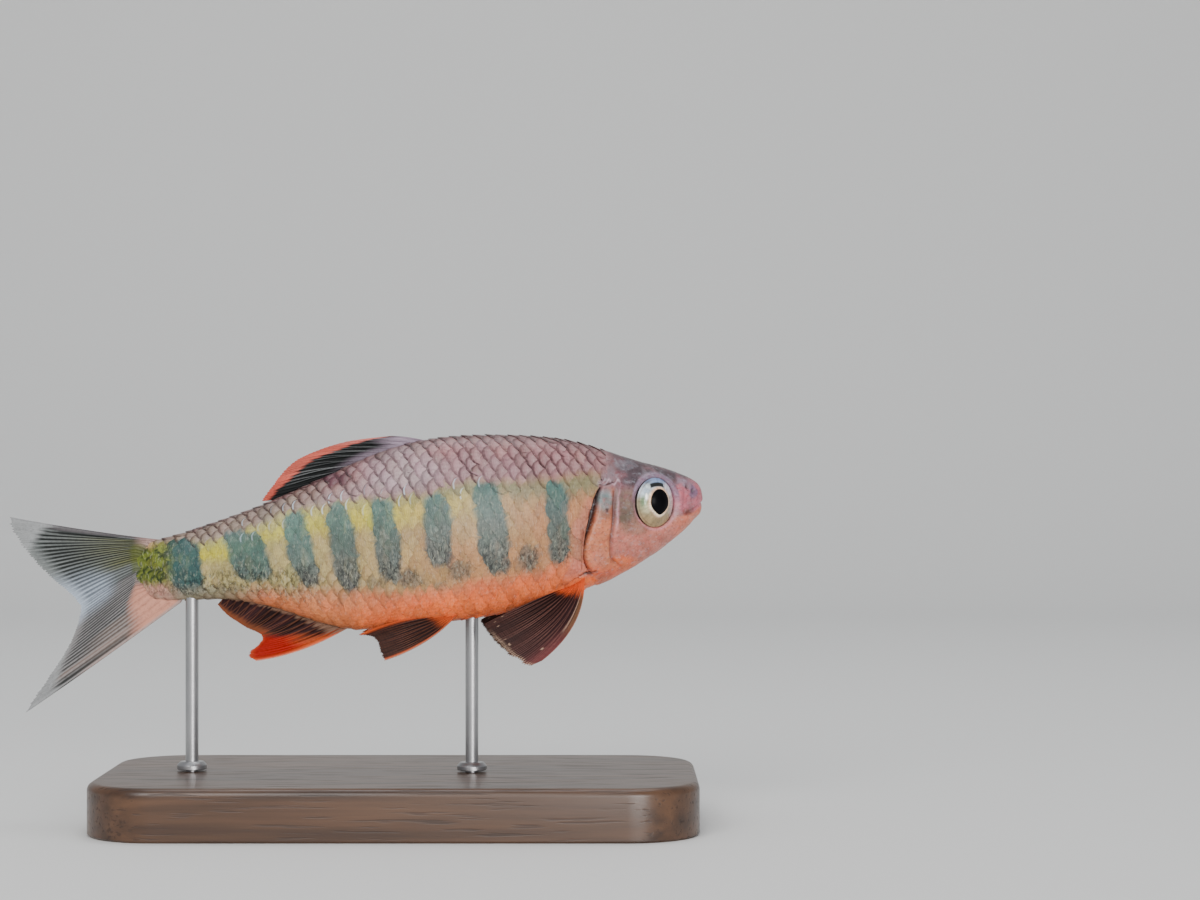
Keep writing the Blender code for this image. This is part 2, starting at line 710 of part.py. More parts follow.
def body_parts():
    """The head, jaw, torso and tail stalk, parted from one blank by thin cuts."""
    blank = body_blank()
    torso = copy_of(blank, "torso")
    combine(torso, head_block(-HALF_GAP), "DIFFERENCE")
    combine(torso, stalk_block(-HALF_GAP), "DIFFERENCE")
    drill(torso, "stand_rod_front")
    stalk = copy_of(blank, "tail_stalk")
    combine(stalk, stalk_block(HALF_GAP), "INTERSECT")
    drill(stalk, "stand_rod_rear")
    head = copy_of(blank, "head")
    combine(head, head_block(HALF_GAP), "INTERSECT")
    jaw = copy_of(head, "lower_jaw")
    combine(head, lip("upper_lip", UPPER_LIP_RISE), "UNION")
    combine(head, jaw_block(-HALF_GAP), "DIFFERENCE")
    combine(jaw, lip("lower_lip", -LOWER_LIP_DROP), "UNION")
    combine(jaw, jaw_block(HALF_GAP), "INTERSECT")
    for side in (-1, 1):
        combine(head, eye_ball("socket", side, GAP), "DIFFERENCE")
        combine(head, gill_cover("cover_seat", side, GAP), "DIFFERENCE")
        for place in (NOSTRIL_FRONT, NOSTRIL_REAR):
            combine(head, nostril_pit(place, side), "DIFFERENCE")
    bpy.data.objects.remove(blank)
    return head, jaw, torso, stalk


def eye(side_name, side):
    """An eyeball with the pupil set in it, as two pieces."""
    made = eye_ball("eye_" + side_name, side)
    combine(made, pupil("pupil_seat", side, PUPIL_GAP), "DIFFERENCE")
    return made, pupil("pupil_" + side_name, side)


def paint(made, color, roughness, metallic=0.0):
    """Gives the object a plain material of its own and smooth shading up to sharp edges."""
    material = bpy.data.materials.new(made.name + "_finish")
    material.use_nodes = True
    shader = material.node_tree.nodes["Principled BSDF"]
    shader.inputs["Base Color"].default_value = (*color, 1.0)
    shader.inputs["Roughness"].default_value = roughness
    shader.inputs["Metallic"].default_value = metallic
    made.data.materials.clear()
    made.data.materials.append(material)
    made.data.shade_smooth()
    made.data.set_sharp_from_angle(angle=SHARP_ANGLE)


def build():
    """Makes every piece and gives it its colour."""
    for old in list(bpy.data.objects):
        bpy.data.objects.remove(old)
    head, jaw, torso, stalk = body_parts()
    paint(head, (0.55, 0.42, 0.38), 0.35)
    paint(jaw, (0.72, 0.42, 0.34), 0.35)
    paint(torso, (0.50, 0.42, 0.30), 0.35)
    paint(stalk, (0.32, 0.40, 0.24), 0.35)
    for side_name, side in (("right", -1), ("left", 1)):
        eyeball, lens = eye(side_name, side)
        paint(eyeball, (0.66, 0.66, 0.52), 0.2, 0.4)
        paint(lens, (0.01, 0.01, 0.01), 0.08)
        paint(gill_cover("gill_cover_" + side_name, side, 0.0), (0.72, 0.43, 0.30), 0.35)
        pectoral, pelvic = paired_fins(side_name, side)
        paint(pectoral, (0.16, 0.08, 0.08), 0.4)
        paint(pelvic, (0.30, 0.12, 0.08), 0.4)
    dorsal, anal, upper, lower = middle_fins()
    paint(dorsal, (0.60, 0.14, 0.11), 0.4)
    paint(anal, (0.62, 0.14, 0.07), 0.4)
    paint(upper, (0.22, 0.24, 0.25), 0.4)
    paint(lower, (0.22, 0.24, 0.25), 0.4)
    paint(stand_base(), (0.12, 0.06, 0.03), 0.4)
    for name in ROD_X:
        paint(rod(name), (0.62, 0.62, 0.62), 0.25, 1.0)


build()
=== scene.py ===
"""Looks of the life-size Barilius ardens model: one skin, its scales, eyes, rayed fins and stand.

Metres, +Z up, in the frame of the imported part, with the head towards +X. The body is worked out
straight, along X, and every point is then bent sideways with the spine, as in the solids. Places
on the body are given on the straight body, in millimetres: x along it and z up.
"""

import logging
import math
from collections.abc import Callable
from dataclasses import dataclass, field
from enum import Enum

import bpy
import numpy as np
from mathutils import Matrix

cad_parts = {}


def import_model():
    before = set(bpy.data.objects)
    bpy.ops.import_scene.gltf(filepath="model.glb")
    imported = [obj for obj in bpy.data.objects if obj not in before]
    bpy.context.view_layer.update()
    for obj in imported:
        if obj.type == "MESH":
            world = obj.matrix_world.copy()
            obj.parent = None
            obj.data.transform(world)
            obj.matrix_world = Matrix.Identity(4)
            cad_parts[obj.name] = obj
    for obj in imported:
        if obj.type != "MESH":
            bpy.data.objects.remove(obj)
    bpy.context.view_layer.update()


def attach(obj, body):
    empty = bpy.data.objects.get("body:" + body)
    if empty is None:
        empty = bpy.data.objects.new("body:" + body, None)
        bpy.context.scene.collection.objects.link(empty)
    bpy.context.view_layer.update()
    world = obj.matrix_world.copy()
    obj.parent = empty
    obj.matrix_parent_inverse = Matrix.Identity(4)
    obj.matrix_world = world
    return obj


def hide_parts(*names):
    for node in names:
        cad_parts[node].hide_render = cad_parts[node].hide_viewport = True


LOG = logging.getLogger("minnow")
MM = 0.001
Pair = tuple[float, float]
Triple = tuple[float, float, float]
Colour = Triple
Array = np.ndarray
Material = bpy.types.Material
Curve = Callable[[Array], Array]

# The straight body's stations, in millimetres: distance behind the snout, back above and belly
# below the snout's height, and half width.
STATIONS = np.array(
    [
        (0, 0, 0, 0), (0.5, 2.1, -1.9, 1.35), (1.7, 3, -3.3, 2.3),
        (4.8, 4.6, -6.6, 3.5), (8.6, 5.7, -9.4, 4.5), (14.1, 7.4, -12.5, 5.3),
        (19.7, 9.1, -14.8, 5.9), (27.2, 10, -16.9, 6.5), (38.3, 9.9, -18.7, 6.6),
        (46.7, 8.5, -19.5, 6.3), (54.6, 5.4, -20, 5.6), (65.3, 0.4, -16.9, 4.2),
        (77.4, -4.1, -15.5, 2.5), (83, -5.8, -15.7, 1.8), (87, -6.7, -15.1, 1.2),
    ]
)


def spline(knots: Array, values: Array) -> Curve:
    """Natural cubic spline: the cubic pieces through the values whose slope and bend run on.

    Args:
        knots: rising places of the values.
        values: one value, or one row of values, for each knot.

    Returns:
        A function that gives the spline at an array of places, held at the ends.
    """
    x = np.asarray(knots, float)
    y = np.asarray(values, float)
    step = np.diff(x)
    slope = (np.diff(y, axis=0).T / step).T
    count = len(x)
    matrix = np.eye(count)
    right = np.zeros_like(y)
    for i in range(1, count - 1):
        matrix[i, i - 1 : i + 2] = step[i - 1], 2 * (step[i - 1] + step[i]), step[i]
        right[i] = 6 * (slope[i] - slope[i - 1])
    bend = np.linalg.solve(matrix, right)

    def at(where: Array) -> Array:
        """The spline's value at each place."""
        where = np.clip(np.asarray(where, float), x[0], x[-1])
        i = np.clip(np.searchsorted(x, where) - 1, 0, count - 2)
        wide = step[i]
        before = where - x[i]
        after = x[i + 1] - where
        if y.ndim > 1:
            wide, before, after = wide[..., None], before[..., None], after[..., None]
        ends = bend[i] * after**3 / (6 * wide) + bend[i + 1] * before**3 / (6 * wide)
        near = (y[i] / wide - bend[i] * wide / 6) * after
        far = (y[i + 1] / wide - bend[i + 1] * wide / 6) * before
        return ends + near + far

    return at


def ramp(value: Array, low: float, high: float) -> Array:
    """Smooth step from 0 at low to 1 at high, three times the square less twice the cube."""
    share = np.clip((value - low) / (high - low), 0, 1)
    return share * share * (3 - 2 * share)


def bell(value: Array, centre: float, half: float) -> Array:
    """Bell curve, 1 at the centre and 1/e at half away from it."""
    return np.exp(-(((value - centre) / half) ** 2))


def band(value: Array, low: float, high: float, soft: float) -> Array:
    """1 between low and high, falling to 0 over soft outside them."""
    return ramp(value, low - soft, low) * ramp(value, high + soft, high)


class Paint:
    """Colours at many places, laid one over another."""

    def __init__(self, colour: "Colour | Array"):
        """Starts with one colour, or with an array of them."""
        self.now = np.asarray(colour, float)

    def over(self, colour: "Colour | Array | Paint", mask: Array) -> "Paint":
        """Lays other colours on, as strongly as the mask says."""
        other = colour.now if isinstance(colour, Paint) else np.asarray(colour)
        self.now = self.now + (other - self.now) * np.asarray(mask)[..., None]
        return self

    def shaded(self, shade: Array) -> Array:
        """The colours, made lighter or darker place by place."""
        return self.now * shade[..., None]


def joined(*parts: Array | float) -> Array:
    """Coordinates, or corners of faces, brought to one shape and stacked along a new last axis."""
    return np.stack(np.broadcast_arrays(*parts), axis=-1)


def turns(count: int) -> Array:
    """Angles spread evenly round a circle."""
    return np.linspace(0, 2 * math.pi, count, endpoint=False)


@dataclass(frozen=True)
class Grain:
    """Smooth random values in a plane, from a small seeded table that repeats."""

    seed: int
    size: int = 61

    def __call__(self, u: Array, v: Array) -> Array:
        """Random values between -1 and 1: the table's corners round (u, v), smoothly mixed."""
        table = np.random.default_rng(self.seed).uniform(-1, 1, (self.size, self.size))
        row = np.floor(u).astype(int)
        column = np.floor(v).astype(int)
        a = ramp(u - row, 0, 1)
        b = ramp(v - column, 0, 1)
        r0, r1 = row % self.size, (row + 1) % self.size
        c0, c1 = column % self.size, (column + 1) % self.size
        near = table[r0, c0] * (1 - a) + table[r1, c0] * a
        far = table[r0, c1] * (1 - a) + table[r1, c1] * a
        return near * (1 - b) + far * b


def grid_faces(rows: int, columns: int, wrap: bool = False, start: int = 0) -> Array:
    """The quads of a grid of points stored row by row.

    Args:
        rows: number of rows.
        columns: number of points in a row.
        wrap: whether the last column joins the first.
        start: the first point's number.

    Returns:
        An array with the four corners of each quad.
    """
    i = np.arange(rows - 1)[:, None] * columns
    j = np.arange(columns if wrap else columns - 1)[None, :]
    k = (j + 1) % columns
    quads = joined(i + j, i + columns + j, i + columns + k, i + k)
    return quads.reshape(-1, 4) + start


def closed_faces(rows: int, columns: int) -> list[Array]:
    """The faces of rings closed by two more points, before the first ring and after the last."""
    ring = np.arange(columns)
    count = rows * columns
    last = ring[::-1] + count - columns
    fans = [joined(tip, edge, np.roll(edge, -1)) for tip, edge in ((count, ring), (count + 1, last))]
    return [grid_faces(rows, columns, wrap=True), *fans]


def capped_faces(rows: int, columns: int) -> list[Array]:
    """The faces of rings with a flat cap on the first and the last."""
    cap = np.arange(columns)[None, :]
    return [grid_faces(rows, columns, wrap=True), cap, cap[:, ::-1] + (rows - 1) * columns]


def outline(rows: int, columns: int) -> Array:
    """The numbers of a grid's outer points, in order round it."""
    right = np.arange(2 * columns - 1, rows * columns, columns)
    bottom = np.arange(rows * columns - 2, (rows - 1) * columns - 1, -1)
    return np.concatenate([np.arange(columns), right, bottom, np.arange((rows - 2) * columns, 0, -columns)])


def turned_like(face: Array, faces: Array, a: int, b: int) -> Array:
    """The faces, reversed if their first passes the edge from a to b the way that face does."""

    def direct(corners: Array) -> bool:
        """Whether a face goes straight from a to b."""
        ring = list(corners)
        return ring[(ring.index(a) + 1) % len(ring)] == b

    return faces if direct(face) != direct(faces[0]) else faces[:, ::-1]


def wall_faces(quads: Array, upper: Array, lower: Array) -> Array:
    """The wall between a grid's outline and the same line of a lower side."""
    wall = joined(upper, np.roll(upper, -1), np.roll(lower, -1), lower)
    return turned_like(quads[0], wall, upper[0], upper[1])


def signed_volume(points: Array, faces: Array) -> float:
    """Six times the volume inside the faces, negative where they point inwards."""
    total = 0.0
    for k in range(1, faces.shape[1] - 1):
        a, b, c = points[faces[:, 0]], points[faces[:, k]], points[faces[:, k + 1]]
        total += float(np.einsum("ij,ij->i", a, np.cross(b, c)).sum())
    return total


class Piece:
    """A closed mesh from arrays, with its attributes, its finish and its place in the frame."""

    def __init__(self, name: str, points: Array, faces: list[Array], sharp: float = 40):
        """Makes the mesh.

        Args:
            name: the object's name.
            points: the points, in the row frame.
            faces: arrays of faces, each with one number of corners.
            sharp: edges that turn by more than this, in degrees, stay sharp.
        """
        points = np.asarray(points, float).reshape(-1, 3)
        if sum(signed_volume(points, group) for group in faces) < 0:
            faces = [group[:, ::-1] for group in faces]
        corners = np.concatenate([group.ravel() for group in faces]).astype(np.int32)
        sizes = np.concatenate([np.full(len(group), group.shape[1]) for group in faces])
        starts = np.concatenate([[0], np.cumsum(sizes)[:-1]])
        mesh = bpy.data.meshes.new(name)
        mesh.vertices.add(len(points))
        mesh.vertices.foreach_set("co", points.ravel())
        mesh.loops.add(len(corners))
        mesh.loops.foreach_set("vertex_index", corners)
        mesh.polygons.add(len(sizes))
        mesh.polygons.foreach_set("loop_start", starts.astype(np.int32))
        mesh.update(calc_edges=True)
        mesh.validate()
        mesh.shade_smooth()
        mesh.set_sharp_from_angle(angle=math.radians(sharp))
        self.corners = corners
        self.object = bpy.data.objects.new(name, mesh)
        bpy.context.scene.collection.objects.link(self.object)

    def colour(self, name: str, values: Array) -> "Piece":
        """Keeps one colour for each point."""
        values = np.clip(np.asarray(values, float).reshape(-1, 3), 0, 1)
        full = np.concatenate([values, np.ones((len(values), 1))], axis=1)
        made = self.object.data.attributes.new(name, "FLOAT_COLOR", "POINT")
        made.data.foreach_set("color", full.astype(np.float32).ravel())
        return self

    def value(self, name: str, values: Array) -> "Piece":
        """Keeps one number for each point."""
        made = self.object.data.attributes.new(name, "FLOAT", "POINT")
        made.data.foreach_set("value", np.asarray(values, np.float32).ravel())
        return self

    def unwrap(self, places: Array) -> "Piece":
        """Lays the bake map out, from one place in the unit square for each point."""
        layer = self.object.data.uv_layers.new(name="OFBake")
        spread = np.asarray(places, np.float32).reshape(-1, 2)[self.corners]
        layer.data.foreach_set("uv", spread.ravel())
        return self

    def finish(self, material: Material, slot: str, *nodes: str) -> bpy.types.Object:
        """Dresses the piece, hangs it under the root and hides the nodes of the part that it stands for."""
        self.object.data.materials.append(material)
        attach(self.object, "root")
        if nodes:
            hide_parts(*nodes)
        LOG.info("%s: %d faces", self.object.name, len(self.object.data.polygons))
        return self.object


class Term:
    """A value in a shader expression: the operators add Math nodes to its tree."""

    def __init__(self, tree: "Tree", socket: bpy.types.NodeSocket):
        """Wraps one output socket."""
        self.tree = tree
        self.socket = socket

    def __add__(self, other: "Term | float") -> "Term":
        """Sum."""
        return self.tree.math("ADD", self, other)

    def __sub__(self, other: "Term | float") -> "Term":
        """Difference."""
        return self.tree.math("SUBTRACT", self, other)

    def __rsub__(self, other: "Term | float") -> "Term":
        """Difference from a number."""
        return self.tree.math("SUBTRACT", other, self)

    def __mul__(self, other: "Term | float") -> "Term":
        """Product."""
        return self.tree.math("MULTIPLY", self, other)

    __radd__ = __add__
    __rmul__ = __mul__

    def step(self, low: float, high: float) -> "Term":
        """Smooth step from 0 at low to 1 at high."""
        settings = {"interpolation_type": "SMOOTHSTEP"}
        made = self.tree.node("ShaderNodeMapRange", settings, {0: self, 1: low, 2: high})
        return Term(self.tree, made.outputs[0])

    def sine(self) -> "Term":
        """Sine of the value, in radians."""
        return self.tree.math("SINE", self)


Feed = Term | float | tuple


class Tree:
    """A material's nodes, round one Principled shader."""

    def __init__(self, name: str):
        """Starts a material with a Principled shader and its output."""
        self.material = bpy.data.materials.new(name)
        self.material.use_nodes = True
        self.nodes = self.material.node_tree.nodes
        self.shader = self.nodes["Principled BSDF"]

    def feed(self, socket: bpy.types.NodeSocket, value: Feed) -> None:
        """Links a term to a socket, or sets the socket's own value."""
        if isinstance(value, Term):
            self.material.node_tree.links.new(value.socket, socket)
        elif isinstance(value, tuple) and len(value) == 3 and socket.type == "RGBA":
            socket.default_value = (*value, 1)
        else:
            socket.default_value = value

    def node(self, kind: str, settings: dict, inputs: dict[int | str, Feed]) -> bpy.types.Node:
        """Adds a node.

        Args:
            kind: the node's type.
            settings: its own settings.
            inputs: values or terms by the socket's name or number.

        Returns:
            The new node.
        """
        made = self.nodes.new(kind)
        for key, value in settings.items():
            setattr(made, key, value)
        for key, value in inputs.items():
            self.feed(made.inputs[key], value)
        return made

    def math(self, operation: str, *values: Feed) -> Term:
        """A Math node's result."""
        made = self.node("ShaderNodeMath", {"operation": operation}, dict(enumerate(values)))
        return Term(self, made.outputs[0])

    def mix(self, factor: Feed, first: Feed, second: Feed, kind: str = "MIX") -> Term:
        """Two colours mixed by a factor."""
        settings = {"data_type": "RGBA", "blend_type": kind, "clamp_factor": True}
        made = self.node("ShaderNodeMix", settings, {0: factor, 6: first, 7: second})
        return Term(self, made.outputs[2])

    def read(self, name: str, output: str = "Fac") -> Term:
        """A number, or with output Color a colour, kept on the mesh."""
        made = self.node("ShaderNodeAttribute", {"attribute_name": name}, {})
        return Term(self, made.outputs[output])

    def place(self, stretch: Triple = (1, 1, 1)) -> Term:
        """Object coordinates, stretched along each axis."""
        where = Term(self, self.node("ShaderNodeTexCoord", {}, {}).outputs["Object"])
        made = self.node("ShaderNodeMapping", {}, {"Vector": where, "Scale": stretch})
        return Term(self, made.outputs[0])

    def noise(self, where: Term, scale: float, detail: float = 3, rough: float = 0.55) -> Term:
        """Noise between 0 and 1 at a place."""
        inputs = {"Vector": where, "Scale": scale, "Detail": detail, "Roughness": rough}
        return Term(self, self.node("ShaderNodeTexNoise", {}, inputs).outputs[0])

    def bump(self, height: Term, distance: float, strength: float = 1) -> Term:
        """The normal of a surface that the height raises by up to the distance."""
        inputs = {"Height": height, "Distance": distance, "Strength": strength}
        return Term(self, self.node("ShaderNodeBump", {}, inputs).outputs[0])

    def dress(self, inputs: dict[str, Feed]) -> Material:
        """Feeds the Principled shader and gives the finished material."""
        for key, value in inputs.items():
            self.feed(self.shader.inputs[key], value)
        return self.material


@dataclass
class FishForm:
    """The body's shape: spline stations, superellipse sections and a sideways bent spine."""

    snout_x: float = 46.7 * MM
    snout_z: float = 50.0 * MM
    length: float = 87.0 * MM
    widest_share: float = 0.53
    power: float = 2.2
    shift_y: float = -1.5 * MM
    head_bend_from: float = 3.0 * MM
    tail_bend_from: float = -12.0 * MM
    head_bend: float = 5.1
    tail_bend: float = 3.5
    wedge: Pair = (-37.0 * MM, -42.3 * MM)
    wedge_keeps: float = 0.2
    profile: Curve = field(init=False)

    def __post_init__(self) -> None:
        """Runs the profile in the root of the distance, so that the snout comes out round."""
        share = np.sqrt(STATIONS[:, 0] * MM / self.length)
        self.profile = spline(share, STATIONS[:, 1:] * MM)

    def sizes(self, x: Array) -> tuple[Array, Array, Array]:
        """Back height, belly height and half width at x; the tail's end thins to a wedge."""
        behind = np.clip((self.snout_x - np.asarray(x, float)) / self.length, 0, 1)
        found = self.profile(np.sqrt(behind))
        thin = 1 - (1 - self.wedge_keeps) * ramp(np.asarray(x, float), *self.wedge)
        half = np.maximum(found[..., 2], 1e-6) * thin
        return self.snout_z + found[..., 0], self.snout_z + found[..., 1], half

    def frame(self, x: Array, z: Array) -> tuple[Array, Array, Array]:
        """The section's middle height, its rise from there to the edge on z's side, and half width."""
        back, belly, half = self.sizes(x)
        middle = belly + self.widest_share * (back - belly)
        return middle, np.where(z > middle, back - middle, middle - belly), half

    def section(self, x: Array, angle: Array) -> Array:
        """Point of a superellipse section. Angle 0 is the back, a quarter turn the -Y side."""
        back, belly, half = self.sizes(x)
        middle = belly + self.widest_share * (back - belly)
        up = np.cos(angle)
        out = np.sin(angle)
        rise = np.where(up > 0, back - middle, middle - belly)
        z = middle + rise * np.sign(up) * np.abs(up) ** (2 / self.power)
        y = -half * np.sign(out) * np.abs(out) ** (2 / self.power)
        return joined(x, y, z)

    def outward(self, points: Array) -> Array:
        """Outward normal of the superellipse at a point of it, in the section's plane."""
        x, y, z = points[..., 0], points[..., 1], points[..., 2]
        middle, rise, half = self.frame(x, z)
        rise = np.maximum(rise, 1e-6)
        n_y = np.sign(y) * np.abs(y / half) ** (self.power - 1) / half
        n_z = np.sign(z - middle) * np.abs((z - middle) / rise) ** (self.power - 1) / rise
        size = np.maximum(np.hypot(n_y, n_z), 1e-9)
        return joined(np.zeros_like(n_y), n_y / size, n_z / size)

    def flank(self, x: Array, z: Array, side: int, off: float = 0) -> Array:
        """Point of the flank at x and height z, moved out by off. Side is -1 or 1."""
        x, z = np.broadcast_arrays(np.asarray(x, float), np.asarray(z, float))
        middle, rise, half = self.frame(x, z)
        level = np.clip(np.abs(z - middle) / rise, 0, 0.995)
        y = side * half * (1 - level**self.power) ** (1 / self.power)
        point = joined(x, y, z)
        return point + off * self.outward(point)

    def height_share(self, x: Array, z: Array) -> Array:
        """Height between the belly, 0, and the back, 1."""
        back, belly, _ = self.sizes(x)
        return (z - belly) / np.maximum(back - belly, 1e-6)

    def spine(self, x: Array) -> tuple[Array, Array]:
        """The bent spine's sideways place, a parabola at each end, and its turn at x."""
        ahead = np.maximum(x - self.head_bend_from, 0)
        behind = np.maximum(self.tail_bend_from - x, 0)
        place = self.shift_y + self.head_bend * ahead**2 + self.tail_bend * behind**2
        return place, np.arctan(2 * self.head_bend * ahead - 2 * self.tail_bend * behind)

    def bend(self, points: Array) -> Array:
        """Carries straight points to the bent spine: a section turns with the spine's line."""
        points = np.asarray(points, float)
        x, y, z = points[..., 0], points[..., 1], points[..., 2]
        place, turn = self.spine(x)
        return joined(x - y * np.sin(turn), place + y * np.cos(turn), z)

    def turned(self, x: float, axes: Array) -> Array:
        """Unit rows of the straight body, turned with the spine at x."""
        turn = float(self.spine(np.array(x))[1])
        cos, sin = math.cos(turn), math.sin(turn)
        return np.asarray(axes, float) @ np.array([(cos, sin, 0), (-sin, cos, 0), (0, 0, 1)])


@dataclass
class Girth:
    """The way round the body: the arc from the back's ridge down a flank, at every x."""

    form: FishForm
    stations: int = 240
    steps: int = 320
    middle_share: float = 0.5
    x: Array = field(init=False)
    half: Array = field(init=False)
    middle: Array = field(init=False)
    angle: Array = field(init=False)

    def __post_init__(self) -> None:
        """Adds up the arcs of the sections and turns them round into angles."""
        self.x = np.linspace(-43.0 * MM, 46.0 * MM, self.stations)
        angle = np.linspace(0, math.pi, self.steps)
        rings = self.form.section(self.x[:, None], angle[None, :])
        pieces = np.linalg.norm(np.diff(rings, axis=1), axis=-1)
        arc = np.concatenate([np.zeros((self.stations, 1)), np.cumsum(pieces, axis=1)], axis=1)
        self.half = arc[:, -1]
        share = np.linspace(0, 1, self.steps)
        self.angle = np.stack([np.interp(share * row[-1], row, angle) for row in arc])
        back, belly, _ = self.form.sizes(self.x)
        level = belly + self.middle_share * (back - belly)
        heights = rings[..., 2]
        rows = zip(level, heights, arc)
        self.middle = np.array([np.interp(-z, -height, row) for z, height, row in rows])

    def half_at(self, x: Array) -> Array:
        """Arc from the back's ridge to the belly's ridge."""
        return np.interp(x, self.x, self.half)

    def middle_at(self, x: Array) -> Array:
        """Arc from the back's ridge to the middle of the flank."""
        return np.interp(x, self.x, self.middle)

    def point(self, x: Array, arc: Array, side: int, off: Array) -> Array:
        """Straight point at x and an arc, off out; past a ridge it goes over to the other side."""
        half = self.half_at(x)
        share = arc / half
        fold = np.where((share < 0) | (share > 1), -1, 1)
        share = np.abs(share)
        share = np.where(share > 1, 2 - share, share)
        row = np.clip(np.interp(x, self.x, np.arange(self.stations)), 0, self.stations - 1.001)
        column = np.clip(share * (self.steps - 1), 0, self.steps - 1.001)
        i, j = row.astype(int), column.astype(int)
        a, b = row - i, column - j
        near = self.angle[i, j] * (1 - a) + self.angle[i + 1, j] * a
        far = self.angle[i, j + 1] * (1 - a) + self.angle[i + 1, j + 1] * a
        point = self.form.section(x, near * (1 - b) + far * b)
        point[..., 1] *= -side * fold
        return point + off[..., None] * self.form.outward(point)


# Lines of the head on the straight body, in millimetres: height z, then x.
GILL_EDGE = spline(
    (34, 36, 38.6, 40.8, 42.5, 44.6, 46.2, 47.9, 49.6, 51, 52.4, 54, 62),
    (33, 31.4, 28.9, 27.8, 27.7, 28, 28.4, 28.8, 29.2, 29.6, 30.3, 31, 31.6),
)
SHOULDER_FOLD = spline((38.5, 41.1, 43.6, 45.9, 47.3, 49.4), (27.2, 27, 26.9, 27, 27.4, 28.1))
SCALE_EDGE = spline(
    (30, 34, 36.5, 38.5, 41, 44, 47, 49.5, 51.5, 53, 55.5, 58, 62),
    (30, 28.6, 25.2, 24.9, 25.6, 25.5, 26, 27.1, 28.2, 29.3, 30.4, 31, 31.2),
)
HEAD_EDGE = spline(
    (34, 36, 38.6, 40.8, 42.5, 44.6, 46.2, 47.9, 49.6, 51, 52.4, 54, 58, 62),
    (33, 31.4, 28.9, 27.8, 27.7, 27.9, 28.3, 28.6, 28.9, 29.3, 29.7, 30.2, 31, 31.3),
)
CHEEK_GROOVE = spline((39.4, 40.4, 42, 43.8, 46.1, 49.2, 52), (33.6, 32.1, 31.4, 31.3, 31.5, 31.6, 31.9))
# The mouth's line and the fold over the pectoral fin: x, then height z.
MOUTH_LINE = spline((42.4, 43.4, 44.6, 45.8, 46.9), (47.75, 48.05, 48.5, 49.1, 49.65))
FIN_FOLD = spline((22.8, 25.5, 27.4, 29), (36.2, 37.3, 38.2, 38.9))
# Heights on the flank by x: where the back's colour ends, where salmon starts and where orange does.
BACK_EDGE = spline(
    (-40, -36, -33.7, -30.4, -27.2, -24.1, -21, -17.9, -14.9)
    + (-11.9, -8.8, -5.7, -1, 3.5, 9.3, 17.9, 23.7, 31),
    (43.2, 43.3, 43.5, 43.4, 43.9, 44.9, 46.2, 47.4, 48.7)
    + (49.3, 49.7, 50.2, 50.5, 50.9, 52.2, 52.7, 53.5, 54.2),
)
SALMON_EDGE = spline(
    (-42, -26, -21, -14.9, -8.7, -2.6, 3.5, 9.3, 15, 20.8, 26, 31),
    (34, 35.5, 36.5, 36.6, 36.3, 36, 36, 36.9, 38.3, 39.3, 40.8, 41.5),
)
ORANGE_EDGE = spline(
    (-42, -27, -21, -14.9, -8.8, -2.7, 3.5, 9.3, 15.1, 20.9, 26.1, 31),
    (31, 33.5, 35.5, 35.2, 34.3, 34, 34.8, 35.5, 37, 38.1, 38.5, 38.5),
)


@dataclass(frozen=True)
class EyePlace:
    """Where an eye sits, in metres on the straight body, and its half sizes."""

    form: FishForm
    side: int
    x: float = 38.45 * MM
    z: float = 49.55 * MM
    sunk: float = 1.45 * MM
    forward_deg: float = 11.0
    half_width: float = 3.3 * MM
    half_height: float = 3.86 * MM
    rim: float = 0.76 * MM

    def axes(self) -> Array:
        """Forward, upward and outward unit rows."""
        turn = math.radians(self.forward_deg)
        cos, sin = math.cos(turn), math.sin(turn)
        return np.array([(cos, -self.side * sin, 0), (0, 0, 1), (sin, self.side * cos, 0)])

    def centre(self) -> Array:
        """The middle of the eyeball."""
        return self.form.flank(self.x, self.z, self.side) - self.axes()[2] * self.sunk

    def local(self, points: Array) -> tuple[Array, Array]:
        """Places in the eye's own axes, and the distance from its middle with 1 at its outline."""
        own = (points - self.centre()) @ self.axes().T
        return own, np.hypot(own[..., 0] / self.half_width, own[..., 1] / self.half_height)


